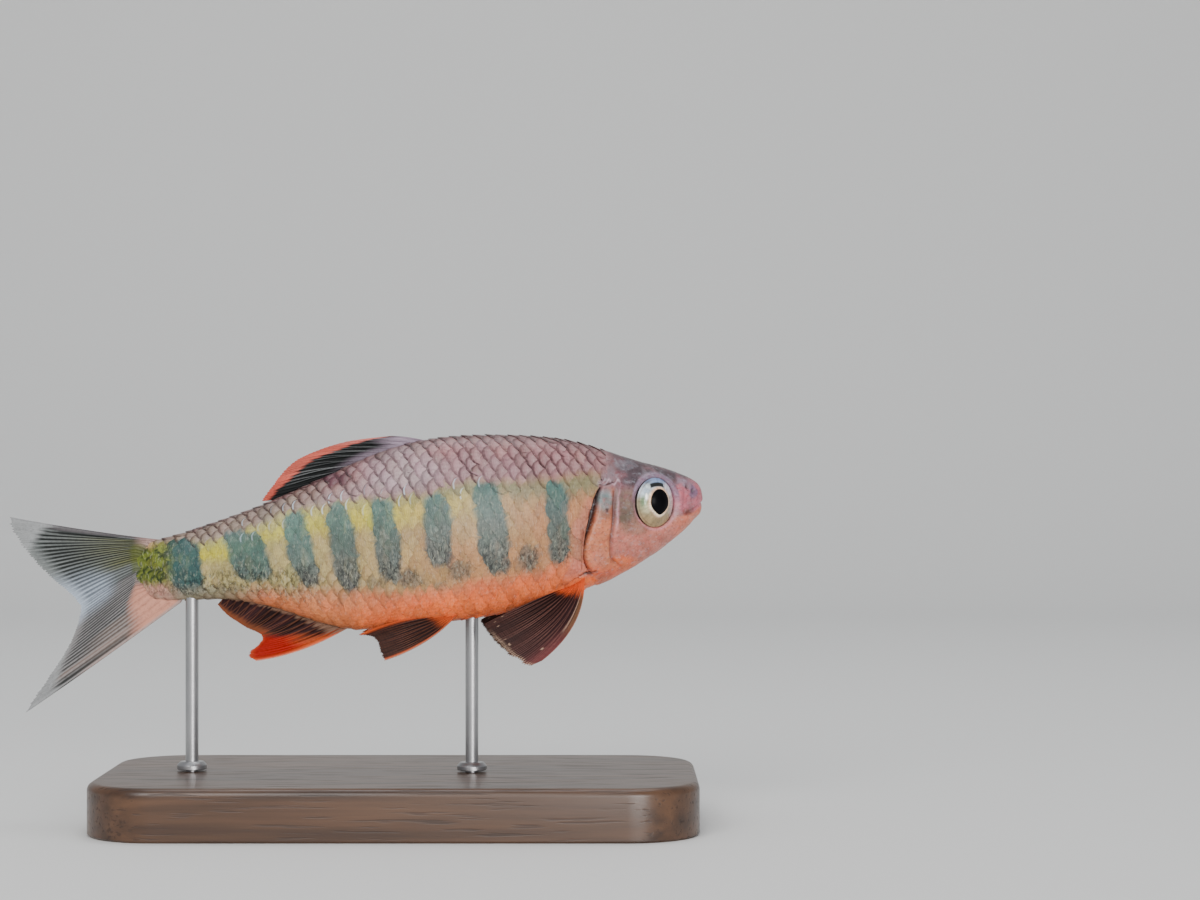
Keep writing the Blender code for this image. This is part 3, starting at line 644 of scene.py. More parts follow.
@dataclass(frozen=True)
class Relief:
    """What the skin rises and sinks by, in millimetres, and where its folds lie, which the markings darken as
    painted shade.
    """

    form: FishForm
    coat_depth: float = 0.28
    head_depth: float = 0.04
    cover_rise: float = 0.26
    slit_depth: float = 0.85

    def slit(self, x: Array, z: Array) -> Array:
        """The gill opening: a crescent behind the cover's edge, widest at mid height."""
        wide = 0.12 + 0.3 * bell(z, 47.8, 3)
        long = band(z, 39.4, 51.6, 1)
        return long * np.exp(-(((x - GILL_EDGE(z) + 0.3) / wide) ** 2))

    def shoulder(self, x: Array, z: Array) -> Array:
        """The thin fold behind the gill opening."""
        return band(z, 39.5, 48.6, 0.8) * bell(x - SHOULDER_FOLD(z), 0, 0.17)

    def cheek(self, x: Array, z: Array) -> Array:
        """The groove between the cheek and the gill cover."""
        return band(z, 40.2, 51, 1) * bell(x - CHEEK_GROOVE(z), 0, 0.27)

    def notch(self, x: Array, z: Array) -> Array:
        """The short fold over the gill cover's top."""
        line = 52.35 + 0.3 * np.abs(x - 30.4) ** 1.3
        return band(x, 29.9, 31.6, 0.5) * bell(z - line, 0, 0.17)

    def mouth(self, x: Array, z: Array) -> Array:
        """The line of the mouth."""
        return ramp(x, 42.7, 43.6) * bell(z - MOUTH_LINE(x), 0, 0.17)

    def fin_fold(self, x: Array, z: Array) -> Array:
        """The fold that runs back over the pectoral fin's base."""
        return band(x, 23.6, 29, 0.8) * bell(z - FIN_FOLD(x), 0, 0.2)

    def nostrils(self, x: Array, z: Array) -> Array:
        """Two pits on the snout."""
        front = np.exp(-(((x - 44.6) / 0.26) ** 2) - ((z - 51.35) / 0.32) ** 2)
        rear = np.exp(-(((x - 43.7) / 0.24) ** 2) - ((z - 51.9) / 0.42) ** 2)
        return np.maximum(front, rear)

    def height(self, x: Array, z: Array) -> Array:
        """The sum of the folds, rises and pits at a place."""
        ahead = x - GILL_EDGE(z)
        on_head = ramp(ahead, -0.9, -0.2)
        cover = band(z, 39.2, 51.6, 1.2)
        lip = bell(np.abs(z - MOUTH_LINE(x)), 0.55, 0.35) * ramp(x, 42.9, 44.3)
        flap = np.exp(-(((x - 44.15) / 0.2) ** 2) - ((z - 51.7) / 0.45) ** 2)
        crease = band(z, 48.6, 51.6, 0.6) * bell(x - 42.9 - 0.12 * (z - 49), 0, 0.22)
        chin = ramp(x, 40.5, 44.8) * ramp(z, 49.3, 47.8)
        snout = 0.3 * ramp(x, 41.8, 45.6) * ramp(z, 49.8, 51.4)
        bones = 0.05 * Grain(5)(x / 1.7, z / 1.4) - 0.035 * ramp(Grain(6)(x / 0.5, z / 0.5), 0.45, 0.8)
        return (
            (self.coat_depth - self.head_depth) * on_head
            - self.coat_depth
            + self.cover_rise * cover * ramp(ahead, -0.12, 0.08) * ramp(ahead, 4.5, 1)
            - self.slit_depth * self.slit(x, z)
            - 0.16 * self.shoulder(x, z)
            - 0.3 * self.notch(x, z)
            - 0.3 * self.cheek(x, z)
            + 0.12 * band(z, 41, 51, 1) * bell(x - CHEEK_GROOVE(z), 0.85, 0.45)
            + 0.08 * lip
            - 0.15 * self.mouth(x, z)
            + 0.42 * chin
            + snout
            + 0.22 * ramp(x, 44.8, 46.5) * ramp(z, 51.2, 50)
            - 0.3 * self.fin_fold(x, z)
            - 0.45 * self.nostrils(x, z)
            + 0.14 * flap
            - 0.12 * crease
            + bones * on_head
        )

    def socket(self, points: Array, side: int) -> Array:
        """Draws the skin round an eye to its rim and down under the eyeball.

        Args:
            points: straight points of the skin.
            side: -1 for the right eye, 1 for the left.

        Returns:
            The points, moved along the eye's outward axis.
        """
        eye = EyePlace(self.form, side)
        own, reach = eye.local(points)
        near = (own[..., 2] > -3.0 * MM) & (reach < 3)
        pull = np.where(reach > 1, bell(reach, 1, 0.2), 1)
        sink = ramp(reach, 1, 0.94) * 2.2 * MM
        lid = 0.2 * MM * bell(reach, 1.12, 0.07) * ramp(own[..., 1], -0.5 * MM, 2.0 * MM)
        moved = own[..., 2] + (eye.rim - own[..., 2]) * pull - sink + lid
        shift = np.where(near, moved - own[..., 2], 0)
        return points + shift[..., None] * eye.axes()[2]


@dataclass(frozen=True)
class FleshColours:
    """Colours of the skin and scales, as linear values."""

    ridge: Colour = (0.15, 0.085, 0.085)
    mauve: Colour = (0.32, 0.19, 0.2)
    mauve_pink: Colour = (0.35, 0.175, 0.175)
    rear_back: Colour = (0.255, 0.195, 0.15)
    blotch: Colour = (0.09, 0.03, 0.045)
    border: Colour = (0.21, 0.21, 0.115)
    sand: Colour = (0.4, 0.28, 0.115)
    peach: Colour = (0.46, 0.205, 0.09)
    lemon: Colour = (0.5, 0.455, 0.03)
    pale_sand: Colour = (0.37, 0.31, 0.125)
    salmon: Colour = (0.67, 0.165, 0.065)
    orange: Colour = (0.88, 0.175, 0.045)
    peach_belly: Colour = (0.52, 0.22, 0.11)
    teal: Colour = (0.062, 0.15, 0.13)
    slate: Colour = (0.095, 0.11, 0.098)
    deep_teal: Colour = (0.018, 0.075, 0.078)
    spot: Colour = (0.13, 0.115, 0.095)
    lime: Colour = (0.16, 0.195, 0.025)
    lime_dark: Colour = (0.022, 0.038, 0.006)
    tail_flesh: Colour = (0.52, 0.27, 0.19)
    stalk_grey: Colour = (0.24, 0.22, 0.15)
    head_top: Colour = (0.088, 0.064, 0.074)
    pale_patch: Colour = (0.22, 0.205, 0.235)
    head_pink: Colour = (0.27, 0.13, 0.14)
    head_rose: Colour = (0.36, 0.145, 0.165)
    cheek_olive: Colour = (0.17, 0.125, 0.085)
    cheek_dark: Colour = (0.11, 0.085, 0.06)
    cover_orange: Colour = (0.53, 0.175, 0.085)
    cover_grey: Colour = (0.2, 0.215, 0.21)
    cheek_low: Colour = (0.5, 0.17, 0.125)
    throat_orange: Colour = (0.66, 0.15, 0.05)
    snout: Colour = (0.48, 0.145, 0.18)
    lilac: Colour = (0.2, 0.125, 0.2)
    lip: Colour = (0.55, 0.2, 0.24)
    jaw: Colour = (0.62, 0.19, 0.115)
    lid: Colour = (0.24, 0.17, 0.24)
    line_pink: Colour = (0.66, 0.3, 0.38)
    # Painted shade: near-black in the gill opening, the folds and the nostrils, and brown in the folds and at
    # the mouth's corner. The near-black also colours one small dot on the gill cover.
    fold: Colour = (0.025, 0.008, 0.008)
    fold_shade_brown: Colour = (0.17, 0.045, 0.025)
    # Painted shade in the crease round each eye.
    eye_crease_shade: Colour = (0.15, 0.085, 0.07)
    lilac_back: Colour = (0.41, 0.335, 0.35)
    rear_orange: Colour = (0.68, 0.2, 0.075)
    cover_red: Colour = (0.7, 0.1, 0.035)
    cover_brown: Colour = (0.24, 0.12, 0.085)
    speck_rose: Colour = (0.3, 0.17, 0.17)
    speck_blue: Colour = (0.1, 0.19, 0.2)
    crown: Colour = (0.075, 0.05, 0.055)
    mottle: Colour = (0.23, 0.17, 0.215)
    # Painted shade in the groove between the cheek and the gill cover.
    groove: Colour = (0.09, 0.035, 0.035)
    # Painted highlight along the top of the gill cover.
    notch_highlight: Colour = (0.7, 0.52, 0.6)


@dataclass(frozen=True)
class Bar:
    """A dark bar of the flank, from its top to its foot, in millimetres."""

    top: Pair
    foot: Pair
    half: float
    teal: float = 0.5
    strength: float = 1.0

    def place(self, x: Array, z: Array) -> tuple[Array, Array]:
        """Across the bar, 1 at its edge, and up it, -1 at the foot and 1 at the top."""
        middle = (self.top[1] + self.foot[1]) / 2
        up = (z - middle) / ((self.top[1] - self.foot[1]) / 2)
        line = self.foot[0] + (self.top[0] - self.foot[0]) * (up + 1) / 2
        return (x - line) / self.half, up

    def mask(self, x: Array, z: Array) -> Array:
        """1 inside the bar: flat above, rounded below, with soft edges."""
        across, up = self.place(x, z)
        ends = np.maximum(up, 0) ** 6 + np.maximum(-up, 0) ** 3.4
        reach = np.abs(across) ** 2.8 + ends
        return self.strength * ramp(reach, 1.32, 0.76)


BARS = (
    Bar((23, 52.8), (24, 40.2), 1.65, 0.5),
    Bar((13.2, 52.6), (14.8, 38.8), 2.1, 0.42),
    Bar((6.1, 50.9), (6.5, 40), 2, 0.5),
    Bar((-2.1, 50.3), (-0.6, 37.5), 2, 0.5),
    Bar((-9, 49.6), (-6.8, 36.1), 2, 0.45),
    Bar((-15.6, 48), (-13.1, 36.8), 2, 0.6),
    Bar((-23.6, 45.2), (-21.4, 37.6), 3.2, 1, 0.95),
    Bar((-33.1, 43.9), (-32, 35.2), 2.85, 1),
)
SPOTS = (
    (19.3, 41.2, 1.6, 2.1, 0.95),
    (9.3, 39.3, 1.7, 1.6, 0.7),
    (2.2, 38, 1.9, 1.5, 0.85),
    (6.7, 37, 1, 0.8, 0.45),
    (-3, 37.4, 1.5, 1, 0.4),
)


def blob(x: Array, z: Array, spot: tuple[float, ...]) -> Array:
    """A soft round spot: middle x and z, half width, half height and, where under 1, strength."""
    reach = ((x - spot[0]) / spot[2]) ** 2 + ((z - spot[1]) / spot[3]) ** 2
    return (spot[4] if len(spot) > 4 else 1) * ramp(reach, 1.5, 0.35)


@dataclass(frozen=True)
class Markings:
    """The fish's colours at any place of the straight body, for the skin and the scales alike."""

    form: FishForm
    relief: Relief
    colours: FleshColours = FleshColours()

    def bars(self, x: Array, z: Array) -> Array:
        """The strongest bar's mask at a place."""
        wave = Grain(13)(x / 2.6, z / 2.2)
        return np.max([bar.mask(x + 0.2 * wave, z) for bar in BARS], axis=0)

    def scrawl(self, x: Array, z: Array) -> Array:
        """Where dark scrawls show: low in the bars, in the spots and on the stalk's end."""
        found = np.max([blob(x, z, spot) for spot in SPOTS], axis=0)
        for bar in BARS:
            up = bar.place(x, z)[1]
            found = np.maximum(found, bar.mask(x, z) * (0.2 + 0.8 * ramp(up, 0, -0.7)))
        t = self.form.height_share(x * MM, z * MM)
        stalk = 0.55 * ramp(x, -33.5, -35.5) * band(t, 0.15, 0.85, 0.1)
        rear = 0.8 * ramp(x, -8, -18) * band(t, 0.14, 0.34, 0.06)
        return np.maximum(np.maximum(found, stalk), rear)

    def flank(self, x: Array, z: Array) -> Array:
        """Back, flank with its bars and spots, and belly, behind the gill opening."""
        tone = self.colours
        t = self.form.height_share(x * MM, z * MM)
        streak = Grain(11)(x / 0.42, z / 2.4)
        fine = Grain(12)(x / 0.3, z / 0.45)
        wave = Grain(13)(x / 2.6, z / 2.2)
        t = t + 0.02 * wave
        rear = ramp(x, 2, -20)
        front = ramp(x, 11, 25)
        colour = Paint(tone.sand)
        colour.over(tone.pale_sand, rear)
        colour.over(tone.peach, np.maximum(front, 0.7 * ramp(x, -4, 12) * ramp(t, 0.58, 0.34)))
        yellow = 0.35 * ramp(x, 14, 6) + 0.35 * ramp(x, 4, -4) + 0.3 * ramp(x, -16, -27)
        under = BACK_EDGE(x) - z + 0.3 * wave + 0.35 * streak
        depth = 4.3 - 1.5 * ramp(x, -14, -19)
        height = ramp(under, -0.4, 0.5) * ramp(under - depth, 1.4, -1)
        colour.over(tone.lemon, np.clip(yellow * height * (1.1 + 0.2 * streak), 0, 1))
        low = ramp(SALMON_EDGE(x) - z + 0.4 * wave + 0.25 * streak, -1.2, 1.4)
        colour.over(tone.peach_belly, 0.9 * low * rear)
        colour.over(tone.salmon, low * (1 - rear))
        lowest = ramp(ORANGE_EDGE(x) - z + 0.35 * wave + 0.2 * streak, -0.7, 1.3)
        colour.over(tone.orange, lowest * (1 - rear) * (0.85 + 0.2 * wave))
        colour.over(tone.rear_orange, 0.85 * lowest * rear * ramp(x, -26, -20))
        edge = bell(under, 0.7 + 0.8 * front, 1.1 + 0.8 * front) * (0.45 + 0.42 * ramp(x, 0, 10))
        colour.over(tone.border, edge)
        back = ramp(under, 0.75, -0.85)
        above = Paint(tone.mauve).over(tone.mauve_pink, ramp(t, 0.82, 0.93) * (0.7 + 0.3 * wave))
        above.over(tone.mauve_pink, 0.5 * front)
        above.over(tone.lilac_back, 0.55 * blob(x + 0.5 * wave, z, (0.5, 55, 6, 3.4)))
        above.over(tone.rear_back, ramp(x, -4, -19))
        above.over(tone.ridge, 0.8 * ramp(t, 0.93, 1))
        above.over(tone.blotch, blob(x + 0.6 * fine, z + 0.5 * streak, (-10.2, 53.4, 3.4, 1, 0.9)))
        colour.over(above, back)
        for bar in BARS:
            up = bar.place(x + 0.2 * wave, z)[1]
            shade = np.clip(bar.teal - 0.12 + 0.65 * up + 0.12 * wave, 0, 1)
            inside = Paint(tone.slate).over(tone.teal, shade)
            inside.over(tone.deep_teal, 0.4 * ramp(x, -16, -20) + 0.5 * ramp(x, -28, -30.5))
            mask = bar.mask(x + 0.28 * wave + 0.12 * fine, z + 0.3 * streak)
            colour.over(inside, mask * (0.97 - 0.14 * ramp(streak, 0.2, 1)))
        for spot in SPOTS:
            colour.over(tone.spot, blob(x + 0.25 * fine, z + 0.2 * streak, spot) * (0.85 + 0.2 * fine))
        stalk = ramp(x, -33.8, -36.2) * band(t, 0.2, 0.84, 0.1)
        lime = Paint(tone.lime).over(tone.lime_dark, ramp(fine, -0.2, 0.5))
        colour.over(lime, stalk)
        colour.over(tone.stalk_grey, 0.85 * ramp(x, -18, -30) * ramp(t, 0.24, 0.1))
        flesh = 0.9 * ramp(x, -33, -36.5) * ramp(t, 0.32, 0.16)
        flesh = np.maximum(flesh, 0.8 * ramp(t, 0.8, 0.93) * ramp(x, -37.5, -39))
        colour.over(tone.tail_flesh, flesh)
        shade = 1 + 0.1 * streak + 0.08 * fine + 0.05 * wave
        return colour.shaded(shade)

    def head(self, x: Array, z: Array) -> Array:
        """Head colours, in front of the gill opening."""
        tone = self.colours
        t = self.form.height_share(x * MM, z * MM)
        wave = Grain(21)(x / 1.3, z / 1.1)
        fine = Grain(22)(x / 0.35, z / 0.35)
        vein = Grain(23)(x / 0.8, z / 0.55)
        colour = Paint(tone.cheek_low)
        colour.over(tone.head_pink, ramp(z, 45.8, 48.4))
        olive = blob(x + 0.2 * wave, z + 0.3 * wave, (33.6, 48.9, 2.3, 3.4))
        colour.over(tone.cheek_olive, 0.9 * olive * (0.75 + 0.35 * vein))
        colour.over(tone.cheek_dark, 0.75 * blob(x + 0.3 * vein, z, (33.4, 47.6, 1, 1.3)))
        colour.over(tone.cheek_olive, 0.5 * blob(x, z, (35, 45.6, 2.4, 1.1)))
        colour.over(tone.throat_orange, 0.9 * blob(x + 0.3 * wave, z, (33.2, 39.9, 2.6, 1.5)))
        colour.over(tone.throat_orange, 0.8 * ramp(t, 0.16, 0) * ramp(x, 40, 33))
        ahead = x - CHEEK_GROOVE(z)
        cover = ramp(ahead, 0.25, -0.25) * band(z, 38.4, 51.8, 0.6)
        colour.over(tone.cover_orange, cover)
        colour.over(tone.cheek_low, 0.4 * cover * blob(x + 0.3 * vein, z, (29.6, 41.2, 1.3, 1.4)))
        colour.over(tone.cover_red, 0.6 * cover * ramp(z, 40.6, 38.6))
        colour.over(tone.cover_brown, 0.75 * blob(x + 0.3 * vein, z, (30.2, 48.3, 1.2, 1.1)))
        speckled = Paint(tone.cover_grey).over(tone.speck_rose, 0.8 * ramp(fine, -0.2, 0.9))
        speckled.over(tone.speck_blue, 0.8 * ramp(vein, -0.1, 0.7))
        patch = (30.15, 50.3, 1.35, 2, 0.95)
        colour.over(speckled, blob(x + 0.25 * vein, z + 0.3 * fine + 0.25 * wave, patch))
        colour.over(tone.fold, 0.8 * blob(x, z, (30.5, 48.5, 0.28, 0.3)))
        top = ramp(z - 0.12 * (x - 38), 51.4, 53.2)
        above = Paint(tone.head_top).over(tone.head_rose, 0.4 * ramp(wave + 0.7 * vein, -0.4, 1.3))
        above.over(tone.pale_patch, 0.4 * ramp(vein - 0.6 * wave, 0.1, 1.1))
        above.over(tone.crown, 0.7 * ramp(z - 0.12 * (x - 38), 54, 55.6) * ramp(x, 43, 39))
        above.over(tone.mauve_pink, 0.7 * ramp(x + 0.4 * vein, 33.4, 30.6))
        colour.over(above, top)
        for patch in (
            (31.4, 54, 0.9, 1.3, 0.45),
            (34, 55.4, 1.8, 0.8, 0.5),
            (30.2, 53.4, 0.8, 0.8, 0.4),
            (45.2, 52.2, 0.9, 0.7, 0.75),
        ):
            colour.over(tone.pale_patch, blob(x + 0.4 * wave, z + 0.2 * vein, patch))
        rose = blob(x + 0.2 * wave, z, (42.7, 50.3, 1.6, 2.3))
        snout = np.maximum(rose, ramp(x, 43.6, 45.2) * ramp(z, 46.5, 48.4))
        colour.over(tone.snout, snout * (1 - 0.7 * ramp(z, 52.2, 53.4)))
        mottle = blob(x + 0.3 * wave, z, (43.2, 52.3, 1.7, 1.1)) * ramp(vein - 0.4 * fine, -0.5, 0.6)
        colour.over(tone.mottle, 0.8 * mottle)
        colour.over(tone.lilac, 0.9 * blob(x + 0.15 * vein, z + 0.2 * wave, (44.6, 51.1, 0.75, 1)))
        colour.over(tone.lip, 0.8 * ramp(x, 45.3, 46.2) * ramp(np.abs(z - 49.6), 1.6, 0.6))
        colour.over(tone.jaw, ramp(x, 40.5, 43) * ramp(z - MOUTH_LINE(x), -0.1, -0.6))
        # Painted shade at the corner of the mouth.
        colour.over(tone.fold_shade_brown, 0.65 * blob(x, z, (43.3, 48, 0.75, 0.55)))
        shade = 0.97 + 0.11 * wave + 0.11 * fine + 0.1 * vein
        return colour.shaded(shade)

    def at(self, x: Array, z: Array) -> Array:
        """Colour at x and z in millimetres, with painted shade in the folds, the cheek groove, the gill
        opening, the mouth line and the nostrils, and a painted highlight along the top of the gill cover.
        """
        tone = self.colours
        relief = self.relief
        on_head = ramp(x - HEAD_EDGE(z), -0.35, 0.1)
        colour = Paint(self.flank(x, z)).over(self.head(x, z), on_head)
        strip = ramp(x - SCALE_EDGE(z), -0.3, 0.5) * ramp(x - GILL_EDGE(z), 0, -0.4)
        colour.over(tone.cheek_low, 0.6 * (strip * band(z, 38.5, 50, 1)))
        # Painted shade in the gill opening and in the fold behind it.
        slit = relief.slit(x, z)
        colour.over(tone.fold, np.clip(1.25 * slit, 0, 0.98) * ramp(z, 40.5, 45))
        colour.over(tone.fold_shade_brown, 0.75 * slit * ramp(z, 45, 41))
        colour.over(tone.fold_shade_brown, 0.85 * relief.shoulder(x, z))
        # Painted shade in the groove between the cheek and the gill cover.
        cheek = relief.cheek(x, z) * (0.5 + 0.5 * bell(z, 48, 3.2))
        colour.over(tone.groove, cheek)
        sway = Grain(24)(x / 0.9, z / 0.9)
        pink = band(z, 46.2, 51, 1.2) * bell(x - CHEEK_GROOVE(z), 0.6 + 0.16 * sway, 0.12)
        colour.over(tone.line_pink, 0.5 * pink * (0.7 + 0.6 * sway))
        # Painted highlight: a pale pink zigzag along the top of the gill cover.
        notch_highlight = band(x, 29.4, 32.6, 0.4) * bell(z - 52.75 - 0.4 * np.sin(4.5 * x) - 0.2 * sway, 0, 0.2)
        colour.over(tone.notch_highlight, 0.55 * notch_highlight)
        # Painted shade in the fold over the gill cover's top, along the mouth, in the fold over the pectoral
        # fin's base and at its front end, and in the nostrils.
        colour.over(tone.fold, 0.8 * relief.notch(x, z))
        colour.over(tone.fold_shade_brown, 0.28 * relief.mouth(x, z) * ramp(x, 47.2, 44.5))
        colour.over(tone.fold_shade_brown, 0.85 * relief.fin_fold(x, z))
        colour.over(tone.fold, 0.8 * blob(x, z, (28.2, 38.55, 0.75, 0.3)))
        return colour.over(tone.fold, 0.75 * relief.nostrils(x, z)).now

    def around_eye(self, colour: Array, points: Array, side: int) -> Array:
        """Tints the lid over an eye and paints shade in a thin line along the crease at its outline."""
        own, reach = EyePlace(self.form, side).local(points)
        paint = Paint(colour)
        near = own[..., 2] > -3.0 * MM
        over = band(reach, 1, 1.17, 0.1) * ramp(own[..., 1], -1.0 * MM, 1.6 * MM)
        paint.over(self.colours.lid, 0.8 * over * near)
        under = bell(reach, 1.09, 0.05) * ramp(own[..., 1], 0.5 * MM, -1.5 * MM)
        paint.over(self.colours.line_pink, 0.4 * under * near)
        # Painted shade in the crease round the eye, weaker at its lower front.
        strong = 0.8 - 0.65 * ramp(own[..., 0], -0.5 * MM, 2.4 * MM) * ramp(own[..., 1], -3.4 * MM, -0.5 * MM)
        return paint.over(self.colours.eye_crease_shade, strong * ramp(reach, 1.025, 1) * near).now


@dataclass
class Skin:
    """The one skin of head, jaw, gill covers, body and tail stalk."""

    form: FishForm
    relief: Relief
    markings: Markings
    head_length: float = 20.0 * MM
    head_rings: int = 196
    head_crowding: float = 1.25
    body_rings: int = 128
    sides: int = 284
    tail_end: float = -41.3 * MM
    tail_round: float = 1.3 * MM

    def surface(self) -> Array:
        """Straight skin points: sections along the body, raised and sunk along their normals."""
        ahead = self.head_length * np.linspace(0, 1, self.head_rings + 1)[1:] ** self.head_crowding
        last = self.form.snout_x - self.tail_end
        behind = np.linspace(self.head_length, last, self.body_rings + 1)[1:]
        x = self.form.snout_x - np.concatenate([ahead, behind])
        angle = turns(self.sides)
        points = self.form.section(x[:, None], angle[None, :])
        along = np.gradient(points, axis=0)
        around = np.roll(points, -1, axis=1) - np.roll(points, 1, axis=1)
        normal = np.cross(around, along)
        normal /= np.maximum(np.linalg.norm(normal, axis=-1, keepdims=True), 1e-12)
        # The normals point away from the section's middle.
        middle = points.mean(axis=1, keepdims=True)
        normal *= np.sign(np.einsum("ijk,ijk->ij", normal, points - middle))[..., None]
        rise = self.relief.height(points[..., 0] / MM, points[..., 2] / MM) * MM
        self.base = points
        shaped = points + normal * rise[..., None]
        # The flesh ends on the tail fin in a curve, furthest back at mid height.
        level = 2 * self.form.height_share(points[..., 0], points[..., 2]) - 1
        forward = self.tail_round * level**2 * ramp(points[..., 0], -39.0 * MM, self.tail_end)
        shaped[..., 0] += forward
        return shaped

    def build(self, material: Material) -> bpy.types.Object:
        """Makes the closed skin with its colours."""
        points = self.surface()
        shaped = self.relief.socket(self.relief.socket(points, -1), 1)
        x, z = self.base[..., 0] / MM, self.base[..., 2] / MM
        colour = self.markings.at(x, z)
        for side in (-1, 1):
            colour = self.markings.around_eye(colour, points, side)
        rings, sides = points.shape[:2]
        tip = shaped[0].mean(axis=0)
        tip[0] = self.form.snout_x
        end = shaped[-1].mean(axis=0)
        bend = self.form.bend
        places = np.concatenate([bend(shaped).reshape(-1, 3), bend(np.array([tip, end]))])
        ends = [colour[0].mean(axis=0), colour[-1].mean(axis=0)]
        piece = Piece("skin", places, closed_faces(rings, sides), sharp=75)
        piece.colour("marking", np.concatenate([colour.reshape(-1, 3), ends]))
        nodes = ("head", "lower_jaw", "torso", "tail_stalk", "gill_cover_left", "gill_cover_right")
        return piece.finish(material, "fish_skin", *nodes)


